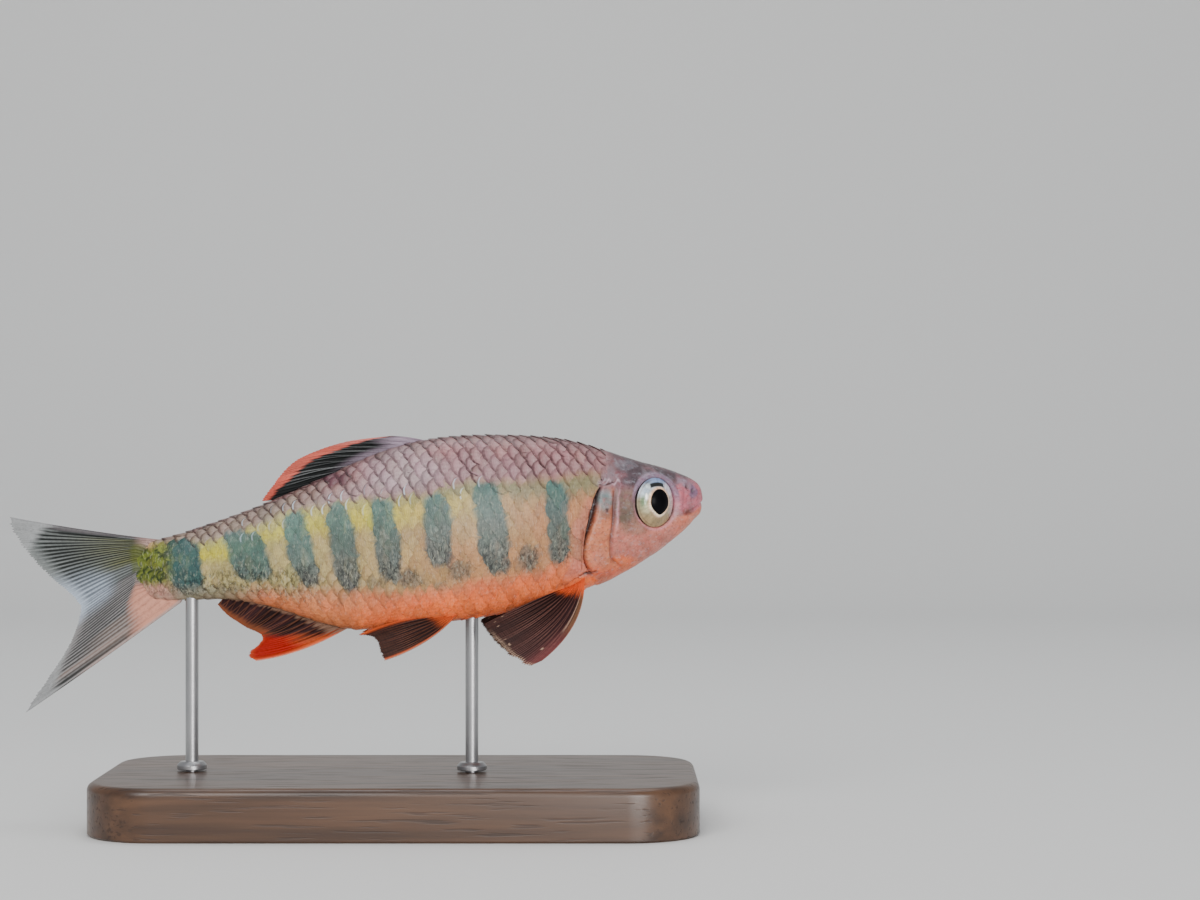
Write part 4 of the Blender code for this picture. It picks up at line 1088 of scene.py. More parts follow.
@dataclass
class ScaleCoat:
    """Overlapping scales as thin curved plates, in rows along the body."""

    form: FishForm
    girth: Girth
    relief: Relief
    markings: Markings
    pitch_front: float = 1.8 * MM
    pitch_rear: float = 1.75 * MM
    row_front: float = 1.62 * MM
    row_rear: float = 1.14 * MM
    length: float = 1.45
    root_height: float = -0.34 * MM
    edge_height: float = -0.03 * MM
    thickness: float = 0.07 * MM
    across: int = 7
    seed: int = 3
    widening: float = 0.14
    arch: float = 0.52
    arch_power: float = 2.9
    skew: float = 0.17
    # Random shifts of a scale's tip, tilt and lift, and its gap to the gill, in millimetres.
    tip_jitter: float = 0.075
    tilt_jitter: float = 0.028
    lift_jitter: float = 0.02
    gill_gap: float = 0.75
    camber: float = 0.05 * MM
    corner_drop: float = 0.11 * MM
    ridge_lift: float = 0.06 * MM
    ridge_margin: float = 0.12 * MM
    # What the bake map spans, and each scale's patch in shares of its pitch and row.
    map_length: float = 76.0 * MM
    map_height: float = 34.0 * MM
    map_front: float = 33.0 * MM
    patch_length: float = 0.88
    patch_half: float = 0.44

    def row_step(self, x: Array) -> Array:
        """Distance between neighbouring rows, smaller towards the tail."""
        return self.row_rear + (self.row_front - self.row_rear) * ramp(x, -38.0 * MM, 2.0 * MM)

    def pitch(self, x: Array) -> Array:
        """Distance between a row's scales, smaller towards the tail."""
        return self.pitch_rear + (self.pitch_front - self.pitch_rear) * ramp(x, -40.0 * MM, 0)

    def columns(self, number: Array) -> Array:
        """The x that lies a number of scales behind the first, by adding up the pitch."""
        x = np.linspace(31.5 * MM, -43.0 * MM, 1500)
        gaps = 1 / self.pitch((x[1:] + x[:-1]) / 2)
        passed = np.concatenate([[0], np.cumsum(gaps * (x[:-1] - x[1:]))])
        return np.interp(number, passed, x)

    def lattice(self) -> tuple[Array, Array]:
        """The tips of a flank's scales: x and row number, every other row half a pitch on."""
        number = np.arange(0, 50)
        rows = np.arange(-12, 13)
        x = self.columns(number[:, None] + 0.5 * (rows[None, :] % 2))
        row = np.broadcast_to(rows[None, :], x.shape)
        arc = self.girth.middle_at(x) + row * self.row_step(x)
        room = self.girth.half_at(x)
        step = self.row_step(x)
        z = self.girth.point(x, np.clip(arc, 0, room), -1, np.zeros_like(x))[..., 2]
        limit = SCALE_EDGE(z / MM) * MM
        tail = -40.0 * MM - 1.0 * MM * bell(row, 0, 3)
        keep = (arc > 0.42 * step) & (arc < room - 0.42 * step) & (x < limit) & (x > tail)
        return x[keep], row[keep].astype(float)

    def ridge(self, edge: int) -> Array:
        """The tips of the row on the back, edge 0, or belly, edge 1, where no fin stands."""
        x = self.columns(np.arange(0, 50) + 0.25)
        if edge == 0:
            return x[((x > 5.4 * MM) | (x < -12.8 * MM)) & (x > -37.0 * MM)]
        return x[((x < 24.5 * MM) & (x > -7.0 * MM)) | ((x < -29.2 * MM) & (x > -34.0 * MM))]

    def plates(self, tip: Array, row: Array, side: int, line: int | None, name: str) -> Piece:
        """Makes the scales of one piece.

        Each scale's upper side is a grid of two parameters: p runs from its sunk root to its
        free edge, a flat arch that bows to the rear, and q runs across it, wider than its row.
        The lower side is the same outline moved in by the scale's thickness.

        Args:
            tip: x of each scale's rear tip.
            row: each scale's row number on the flank.
            side: -1 for the right side, 1 for the left.
            line: 0 or 1 for scales that straddle the back's or the belly's ridge, else None.
            name: the piece's name.

        Returns:
            The piece, with colours, edge values and bake map.
        """
        rng = np.random.default_rng(self.seed + side)
        count = len(tip)
        p = np.array([0, 0.34, 0.6, 0.8, 0.93, 1])[None, :, None]
        q = np.linspace(-1, 1, self.across)[None, None, :]
        wide = (1.0 + self.widening * p) * q
        pitch = self.pitch(tip)[:, None, None]
        tip = tip + rng.normal(0, self.tip_jitter, count) * MM
        at = tip[:, None, None]
        skew = self.skew * wide if line is None else 0.0
        arch = pitch * (self.arch * np.abs(wide) ** self.arch_power + skew)
        x = np.minimum(at + arch + (1 - p) * self.length * pitch, at + 1.02 * self.length * pitch)
        step = self.row_step(at)
        if line is None:
            arc = self.girth.middle_at(x) + (row[:, None, None] + wide) * self.row_step(x)
        else:
            arc = line * self.girth.half_at(x) + wide * step
        room = self.girth.half_at(x)
        if line is None:
            arc = np.clip(arc, self.ridge_margin, room - self.ridge_margin)
        tilt = rng.normal(0, self.tilt_jitter, (count, 1, 1)) * MM
        lift = rng.normal(0, self.lift_jitter, (count, 1, 1)) * MM
        rise = self.root_height + (self.edge_height - self.root_height) * p**0.9
        rise = rise + self.camber * (1 - q**2) * np.sin(np.pi * np.minimum(p, 0.9)) + tilt * q * p + lift * p
        rise = rise - self.corner_drop * q**4 * p**2
        if line is not None:
            rise = rise + self.ridge_lift
        ahead = self.girth.point(x, np.clip(arc, 0, room), side, np.zeros_like(x))[..., 2]
        x = np.minimum(x, (GILL_EDGE(ahead / MM) - self.gill_gap + 0.5 * ramp(ahead / MM, 51.5, 53)) * MM)
        upper = self.girth.point(x, arc, side, rise)
        lower = self.girth.point(x, arc, side, rise - self.thickness)
        rows, columns = p.shape[1], self.across
        rim = outline(rows, columns)
        top = upper.reshape(count, -1, 3)
        under = lower.reshape(count, -1, 3)[:, rim]
        points = np.concatenate([top, under], axis=1)
        size = points.shape[1]
        start = (np.arange(count) * size)[:, None, None]
        quads = grid_faces(rows, columns)
        low = np.arange(len(rim)) + rows * columns
        wall = wall_faces(quads, rim, low)
        floor = turned_like(wall[0], low[None, :], low[0], low[1])
        faces = [(group[None] + start).reshape(-1, group.shape[1]) for group in (quads, wall, floor)]
        piece = Piece(name, self.form.bend(points).reshape(-1, 3), faces, sharp=50)

        def with_rim(values: Array) -> Array:
            """Values of the upper grid, then those of its outline again for the lower side."""
            flat = np.broadcast_to(values, (count, rows, columns)).reshape(count, -1)
            return np.concatenate([flat, flat[:, rim]], axis=1)

        self.dress(piece, points, top.mean(axis=1), rng)
        piece.value("rim", with_rim(p))
        piece.value("across", with_rim(q))
        self.unwrap(piece, with_rim, tip, row, line, p, q)
        return piece

    def dress(self, piece: Piece, points: Array, centre: Array, rng: np.random.Generator) -> None:
        """Keeps each point's colour, how strongly each scale's edge and texture show, and the strength of its
        painted glint.
        """
        count = len(centre)
        x, z = points[..., 0] / MM, points[..., 2] / MM
        cx, cz = centre[:, 0] / MM, centre[:, 2] / MM
        own_x = 0.72 * x + 0.28 * cx[:, None]
        own_z = 0.72 * z + 0.28 * cz[:, None]
        tone = rng.normal(1, 0.075, (count, 1, 1)) + rng.normal(0, 0.02, (count, 1, 3))
        piece.colour("marking", self.markings.at(own_x, own_z) * tone)
        t = self.form.height_share(centre[:, 0], centre[:, 2])
        under = BACK_EDGE(cx) - cz
        net = 0.16 + (0.84 + 0.3 * ramp(cx, -10, -22)) * ramp(under, 1.2, -0.6)
        net = net + 0.5 * ramp(cx, 6, -8) * band(SALMON_EDGE(cx) - cz, -2.4, 1.2, 0.8)
        net = net * (1 - 0.85 * ramp(cx, -34, -36) * band(t, 0.2, 0.84, 0.1))
        net = net * (1 - 0.5 * self.markings.bars(cx, cz)) * rng.uniform(0.55, 1.1, count)
        # Painted glints: pale highlights on the free edges of some scales near the lower edge of the back's
        # colour.
        glint = (rng.random(count) < 0.4) * band(under, -0.8, 1.8, 0.5) * rng.uniform(0.15, 0.5, count)
        glint = glint * band(cx, -22, 12, 3)
        for name, values in (("net", np.clip(net, 0.04, 1.1)), ("glint", glint)):
            piece.value(name, np.broadcast_to(values[:, None], x.shape))
        piece.value("scrawl", self.markings.scrawl(x, z))

    def unwrap(
        self, piece: Piece, with_rim: Curve, tip: Array, row: Array, line: int | None, p: Array, q: Array
    ) -> None:
        """Lays each scale's patch at its place: along the body across the square, rows up it."""
        length, height = self.map_length, self.map_height
        tip, row = tip[:, None, None], row[:, None, None]
        step = self.row_step(tip)
        if line is None:
            root_v, half_v = 0.5 + row * step / height, self.patch_half * step / height
        else:
            root_v, half_v = 0.5, 0.46
        back = self.patch_length * self.pitch(tip) / length
        u = (self.map_front - tip) / length - back * (1 - p) + 0 * q
        v = root_v + half_v * q + 0 * u
        piece.unwrap(joined(with_rim(u), with_rim(v)))

    def build(self, material: Material) -> None:
        """Makes the right and left flanks' scales and those of the two ridges."""
        tip, row = self.lattice()
        for name, side in (("scales_right", -1), ("scales_left", 1)):
            self.plates(tip, row, side, None, name).finish(material, "fish_skin")
        for name, line in (("scales_back", 0), ("scales_belly", 1)):
            tips = self.ridge(line)
            self.plates(tips, np.zeros(len(tips)), -1, line, name).finish(material, "fish_skin")


@dataclass(frozen=True)
class IrisColours:
    """Colours of the eye, as linear values."""

    olive: Colour = (0.29, 0.275, 0.15)
    bronze: Colour = (0.34, 0.235, 0.11)
    green: Colour = (0.15, 0.245, 0.12)
    straw: Colour = (0.52, 0.47, 0.28)
    silver: Colour = (0.42, 0.44, 0.41)
    rose: Colour = (0.72, 0.52, 0.5)
    steel: Colour = (0.36, 0.44, 0.52)
    pearl: Colour = (0.8, 0.74, 0.82)
    blue: Colour = (0.2, 0.29, 0.5)
    # Painted highlights: a pale band above and behind the pupil, and a white glint behind it.
    painted_highlight_band: Colour = (0.62, 0.68, 0.7)
    painted_glint: Colour = (0.85, 0.85, 0.82)
    fleck: Colour = (0.16, 0.13, 0.07)
    copper: Colour = (0.92, 0.56, 0.34)
    # The ring's bright lower rear: partly its own colour, partly a painted highlight.
    gold_and_highlight: Colour = (0.98, 0.84, 0.62)
    bow: Colour = (0.006, 0.008, 0.008)
    line: Colour = (0.16, 0.09, 0.05)
    # Painted shade round the eyeball's edge, fading out towards the front.
    rim: Colour = (0.16, 0.1, 0.09)
    black: Colour = (0.003, 0.003, 0.004)
    back: Colour = (0.1, 0.06, 0.07)


@dataclass
class Eye:
    """An eyeball with its iris, and the dark lens of its pupil."""

    form: FishForm
    side: int
    side_name: str
    rings: int = 60
    around: int = 120
    dome_height: float = 2.1 * MM
    dome_power: float = 2.3
    rim_fall: float = 1.42 * MM
    ring_rise: float = 0.07 * MM
    groove_depth: float = 0.05 * MM
    back_depth: float = 1.6 * MM
    lens_rise: float = 0.16 * MM
    lens_skirt: float = 0.35 * MM
    colours: IrisColours = IrisColours()
    pupil_half: Pair = (1.64 * MM, 2.0 * MM)
    pupil_place: Pair = (0.16 * MM, 0.1 * MM)

    def pupil_reach(self, angle: Array) -> Array:
        """The pupil's outline: round above, narrower and pointed below."""
        cos, sin = np.cos(angle), np.sin(angle)
        below = ramp(-sin, 0.1, 0.95)
        power = 2.0 - 0.42 * below
        a = np.abs(cos / self.pupil_half[0]) ** power
        b = np.abs(sin / self.pupil_half[1]) ** power
        return (a + b) ** (-1 / power)

    def past_pupil(self, x: Array, y: Array) -> Array:
        """How far a place lies outside the pupil's outline, in metres."""
        x = x - self.pupil_place[0]
        y = y - self.pupil_place[1]
        return np.hypot(x, y) - self.pupil_reach(np.arctan2(y, x))

    def dome(self, share: Array) -> Array:
        """Height of the eyeball's front over its middle: a cap that falls by a power of the share."""
        return self.dome_height - self.rim_fall * share**self.dome_power

    def iris_colour(self, x: Array, y: Array, share: Array) -> Array:
        """Colours of the iris at forward x and upward y, in millimetres, with painted highlights and painted
        shade at its edge.

        Args:
            x: forward place in the eye.
            y: upward place in the eye.
            share: distance from the middle, 1 at the eye's outline.

        Returns:
            Linear colours.
        """
        angle = np.arctan2(y, x)
        streak = Grain(41)(angle * 16 + 60, share * 2.5)
        cloud = Grain(42)(x / 0.6 + 20, y / 0.6 + 20)
        fleck = Grain(43)(x / 0.22 + 30, y / 0.22 + 30)
        tone = self.colours
        colour = Paint(tone.olive)
        colour.over(tone.bronze, ramp(-y, 0.6, 2.6))
        colour.over(tone.green, 0.85 * blob(x, y, (-2.1, 0.3, 0.8, 1.2)))
        colour.over(tone.straw, 0.6 * blob(x, y, (-1.9, -0.9, 0.7, 0.8)))
        colour.over(tone.silver, ramp(x, 0.6, 2) * ramp(y, -2.4, 0.2))
        colour.over(tone.rose, ramp(x, 1.9, 2.9) * ramp(y, -3.4, -1.2))
        colour.over(tone.steel, ramp(y - 0.3 * x, 1.2, 2.4))
        colour.over(tone.pearl, 0.85 * blob(x, y, (2.1, 2.2, 0.9, 1.1)))
        colour.over(tone.blue, ramp(y, 2.6, 3.5))
        # Painted highlights: a pale band above and behind the pupil, and a white glint behind it.
        colour.over(tone.painted_highlight_band, 0.8 * blob(x, y, (-1.2, 2.5, 0.8, 0.5)))
        colour.over(tone.painted_glint, 0.9 * blob(x, y, (-2, 0.9, 0.22, 0.6)))
        colour.over(tone.fleck, 0.6 * ramp(fleck, 0.2, 0.7) * blob(x, y, (0.2, -2.7, 1.3, 0.7)))
        own = self.past_pupil(x * MM, y * MM) / MM
        ring = bell(own, 0.17, 0.2 + 0.07 * ramp(-x - y, 0, 2))
        colour.over(tone.copper, ring * (1 - 0.35 * ramp(x, 0.8, 1.6)))
        # The ring's bright lower rear: partly its own colour, partly a painted highlight.
        colour.over(tone.gold_and_highlight, 0.95 * bell(own, 0.15, 0.18) * ramp(-y - 0.5 * x, 0.6, 1.6))
        bow = y - 2.82 + 0.15 * (x - 0.05) ** 2
        colour.over(tone.bow, band(x, -1.15, 1.1, 0.2) * ramp(np.abs(bow), 0.42, 0.24))
        line = bell(share, 0.93, 0.022) * ramp(-x, -0.5, 1.5)
        colour.over(tone.line, 0.6 * line)
        # Painted shade round the eyeball's edge, where it goes under the skin, fading out towards the front.
        colour.over(tone.rim, 0.6 * ramp(share, 0.97, 1) * ramp(x, 2.6, 0.5))
        colour = Paint(colour.shaded(1 + 0.2 * streak + 0.16 * cloud + 0.16 * fleck))
        return colour.over(tone.black, ramp(own, 0.03, -0.03)).now

    def closed(self, rings: Array, front: Triple, back: Triple) -> tuple[Array, list[Array]]:
        """Points and faces of rings that are closed by a point at each end."""
        return np.concatenate([rings.reshape(-1, 3), [front, back]]), closed_faces(*rings.shape[:2])

    def build(self, iris: Material, lens: Material) -> None:
        """Makes the eyeball and the lens and dresses them."""
        place = EyePlace(self.form, self.side)
        angle = turns(self.around)[None, :]
        share = np.linspace(0, 1, self.rings + 1)[1:, None]
        x = share * place.half_width * np.cos(angle)
        y = share * place.half_height * np.sin(angle)
        own = self.past_pupil(x, y)
        ridge = self.ring_rise * bell(own, 0.2 * MM, 0.2 * MM)
        ridge = ridge - self.groove_depth * bell(own, 0.6 * MM, 0.25 * MM)
        front = joined(x, y, self.dome(share) + ridge + 0 * x)
        back = np.linspace(1, 0, 13)[1:-1, None]
        deep = 0.2 * MM - self.back_depth * np.sqrt(1 - back**2) + 0 * angle
        around = [back * place.half_width * np.cos(angle), back * place.half_height * np.sin(angle), deep]
        rings = np.concatenate([front, np.stack(around, axis=-1)])
        local, faces = self.closed(rings, (0, 0, self.dome(np.array(0))), (0, 0, -1.4 * MM))
        shade = self.iris_colour(x / MM, y / MM, share + 0 * x)
        tone = self.colours
        tail = np.tile(np.array([tone.back]), (deep.size, 1))
        colours = np.concatenate([shade.reshape(-1, 3), tail, [tone.black, tone.back]])
        piece = Piece("eyeball_" + self.side_name, self.carry(place, local), faces)
        piece.colour("marking", colours)
        piece.finish(iris, "iris", "eye_" + self.side_name)
        self.build_lens(place, lens)

    def build_lens(self, place: EyePlace, lens: Material) -> None:
        """Makes the pupil: a low dome on the pupil's own outline."""
        angle = turns(72)[None, :]
        share = np.linspace(0, 1, 15)[1:, None]
        reach = share * self.pupil_reach(angle)
        x = reach * np.cos(angle) + self.pupil_place[0]
        y = reach * np.sin(angle) + self.pupil_place[1]
        outer = np.hypot(x / place.half_width, y / place.half_height)
        top = self.dome(outer) + 0.02 * MM + self.lens_rise * (1 - share**2.5)
        front = joined(x, y, top)
        rings = np.concatenate([front, front[-1:] - np.array([0, 0, self.lens_skirt])])
        peak = float(self.dome(np.array(0))) + 0.18 * MM
        middle = self.pupil_place
        local, faces = self.closed(rings, (*middle, peak), (*middle, 1.4 * MM))
        piece = Piece("lens_" + self.side_name, self.carry(place, local), faces)
        piece.finish(lens, "pupil", "pupil_" + self.side_name)

    def carry(self, place: EyePlace, local: Array) -> Array:
        """Takes places in the eye's own axes to the bent body."""
        axes = self.form.turned(place.x, place.axes())
        # The bend is taken at the eye's middle, so that the eyeball keeps its shape.
        return self.form.bend(place.centre()) + local @ axes


class FinKind(Enum):
    """The fins, by the way that they are coloured."""

    DORSAL = "dorsal"
    ANAL = "anal"
    CAUDAL_UPPER = "caudal_upper"
    CAUDAL_LOWER = "caudal_lower"
    PECTORAL = "pectoral"
    PELVIC = "pelvic"


@dataclass(frozen=True)
class FinPlan:
    """A fin's outline in millimetres, from its first ray, share 0, to its last, share 1.

    Rows are share, x, y, z of the straight body, for the fish's -Y side. The bow is the push
    at the middle of each ray, and lean the direction of the fin's thickness.
    """

    kind: FinKind
    rays: int
    margin: tuple
    bow: tuple
    root: tuple = ()
    lean: tuple = (0.0, 1.0, 0.0)
    ripple_seed: int = 53


DORSAL = FinPlan(
    kind=FinKind.DORSAL,
    rays=11,
    ripple_seed=52,
    margin=(
        (0, -1.2, 0, 59.9), (0.12, -7.7, 0.1, 59.1), (0.25, -12, 0.3, 57.9),
        (0.5, -16.9, 0.6, 55.5), (0.75, -19.7, 0.9, 52.3), (0.9, -20.9, 1, 50.8),
        (1, -21.6, 1, 49.8),
    ),
    bow=((0, 0, 0, 0.15), (0.4, 0, 0.1, 0.5), (0.8, 0, 0.2, 0.1), (1, 0, 0.1, -0.8)),
)
DORSAL_ROOT_X = (4.4 * MM, -12.4 * MM)
# The share of each ray that is coral.
CORAL_WIDTH = spline(
    (0, 0.07, 0.15, 0.25, 0.42, 0.55, 0.68, 0.82, 1),
    (0.08, 0.19, 0.3, 0.35, 0.33, 0.28, 0.22, 0.17, 0.13),
)
ANAL = FinPlan(
    kind=FinKind.ANAL,
    rays=18,
    ripple_seed=55,
    margin=(
        (0, -22.6, 0.8, 25), (0.06, -23.5, 0.7, 25.8), (0.17, -22.5, 0.6, 27.2),
        (0.3, -21.3, 0.5, 28.5), (0.42, -21.9, 0.4, 29.4), (0.55, -23.3, 0.2, 30),
        (0.7, -24.8, 0.2, 30.9), (0.85, -26.6, 0.1, 32.1), (1, -28.2, 0, 33.8),
    ),
    bow=((0, 0, 0.3, -0.9), (0.3, 0, 0.2, -0.4), (1, 0, 0, 0)),
)
ANAL_ROOT_X = (-7.7 * MM, -27.2 * MM)
CAUDAL_UPPER = FinPlan(
    kind=FinKind.CAUDAL_UPPER,
    rays=12,
    root=(
        (0, -37, 0, 43.75), (0.22, -39.6, 0, 43.3), (0.4, -40.9, 0, 42.6),
        (0.6, -41.1, 0, 41.5), (1, -41.1, 0, 38.7),
    ),
    margin=(
        (0, -62.3, 0, 47.2), (0.12, -61.6, 0, 44.9), (0.26, -59.8, 0.1, 42.4),
        (0.45, -57.3, 0.2, 39.6), (0.7, -53.9, 0.3, 36.6), (0.86, -51.8, 0.4, 34.9),
        (1, -50.3, 0.4, 33.2),
    ),
    bow=((0, 0, 0, -0.2), (0.5, 0, 0.2, 0.3), (1, 0, 0.1, 0.2)),
)
CAUDAL_LOWER = FinPlan(
    kind=FinKind.CAUDAL_LOWER,
    rays=12,
    root=(
        (0, -34, 0, 34.1), (0.22, -38.2, 0, 34.2), (0.4, -40.6, 0, 35),
        (0.6, -41.1, 0, 36.4), (1, -41.1, 0, 38.9),
    ),
    margin=(
        (0, -59.6, 0, 16.2), (0.1, -57.8, 0, 18.9), (0.25, -55.2, 0.1, 22.5),
        (0.45, -52.7, 0.2, 26.2), (0.65, -51.2, 0.3, 29.3), (0.85, -50.5, 0.4, 31.9),
        (1, -50.2, 0.4, 33.5),
    ),
    bow=((0, -0.2, 0, -0.35), (0.5, 0, 0.2, 0), (1, 0, 0.1, 0.2)),
)
CAUDAL_UPPER_DEEP = (
    (0, -36.4, 0, 42.4), (0.22, -37.4, 0, 42.3), (0.4, -38.6, 0, 41.9),
    (0.6, -38.9, 0, 41.2), (1, -38.9, 0, 38.7),
)
CAUDAL_LOWER_DEEP = (
    (0, -33.4, 0, 35.4), (0.22, -36.6, 0, 35.7), (0.4, -38.6, 0, 36.1),
    (0.6, -38.9, 0, 36.9), (1, -38.9, 0, 38.9),
)
PECTORAL = FinPlan(
    kind=FinKind.PECTORAL,
    rays=13,
    ripple_seed=55,
    margin=(
        (0, 20.3, -9.9, 25.6), (0.05, 19, -9.8, 25), (0.12, 17.9, -9.6, 25.2),
        (0.22, 16.7, -9.3, 26.2), (0.45, 15.2, -8.5, 27.7), (0.75, 13.6, -7, 29.6),
        (1, 12.6, -5.2, 31),
    ),
    bow=((0, 1.5, -0.5, -0.5), (0.5, 0.9, -0.9, -0.4), (1, 0, -0.5, 0.4)),
    lean=(0.25, -1, 0.45),
)
PECTORAL_ROOT = ((27.7 * MM, 37.6 * MM), (25.4 * MM, 36.3 * MM))
PELVIC = FinPlan(
    kind=FinKind.PELVIC,
    rays=9,
    margin=(
        (0, -2, -6.2, 25.6), (0.3, -2.6, -5.9, 27.2), (0.6, -3.1, -5.1, 28.5),
        (0.82, -4.3, -4.1, 29.2), (1, -6.3, -3, 29.3),
    ),
    bow=((0, 0.5, -0.4, -0.8), (0.5, 0.2, -0.5, -0.1), (1, 0, -0.3, 0.9)),
    lean=(0.1, -1, 0.5),
)
PELVIC_ROOT = ((8.9 * MM, 32.1 * MM), (6.7 * MM, 31.7 * MM))


@dataclass(frozen=True)
class FinColours:
    """Colours of the fins, as linear values."""

    coral: Colour = (0.58, 0.12, 0.085)
    dark_green: Colour = (0.004, 0.005, 0.005)
    pale_ray: Colour = (0.17, 0.18, 0.18)
    lavender: Colour = (0.35, 0.27, 0.34)
    black_brown: Colour = (0.01, 0.004, 0.004)
    purple_brown: Colour = (0.036, 0.013, 0.014)
    red: Colour = (0.34, 0.009, 0.004)
    orange: Colour = (0.58, 0.1, 0.025)
    rust: Colour = (0.2, 0.055, 0.02)
    pink_ray: Colour = (0.15, 0.065, 0.052)
    orange_ray: Colour = (0.26, 0.095, 0.05)
    salmon: Colour = (0.58, 0.27, 0.19)
    wine: Colour = (0.2, 0.055, 0.055)
    amber: Colour = (0.24, 0.115, 0.055)
    cream: Colour = (0.58, 0.4, 0.28)
    grey: Colour = (0.19, 0.205, 0.2)
    low_grey: Colour = (0.23, 0.222, 0.22)
    bright_blue: Colour = (0.38, 0.44, 0.52)
    ray_black: Colour = (0.012, 0.014, 0.013)
    olive: Colour = (0.15, 0.15, 0.03)
    tip: Colour = (0.31, 0.32, 0.32)
    coral_rear: Colour = (0.6, 0.105, 0.07)
    coral_pale: Colour = (0.72, 0.24, 0.21)
    fire: Colour = (0.58, 0.05, 0.02)
    anal_base: Colour = (0.31, 0.175, 0.115)
    pectoral_base: Colour = (0.66, 0.1, 0.025)
    smoke: Colour = (0.12, 0.11, 0.115)
    tail_pink: Colour = (0.46, 0.3, 0.27)
    moss: Colour = (0.1, 0.12, 0.02)
    tan: Colour = (0.36, 0.25, 0.2)
    tan_line: Colour = (0.4, 0.3, 0.26)
    tan_edge: Colour = (0.4, 0.3, 0.27)


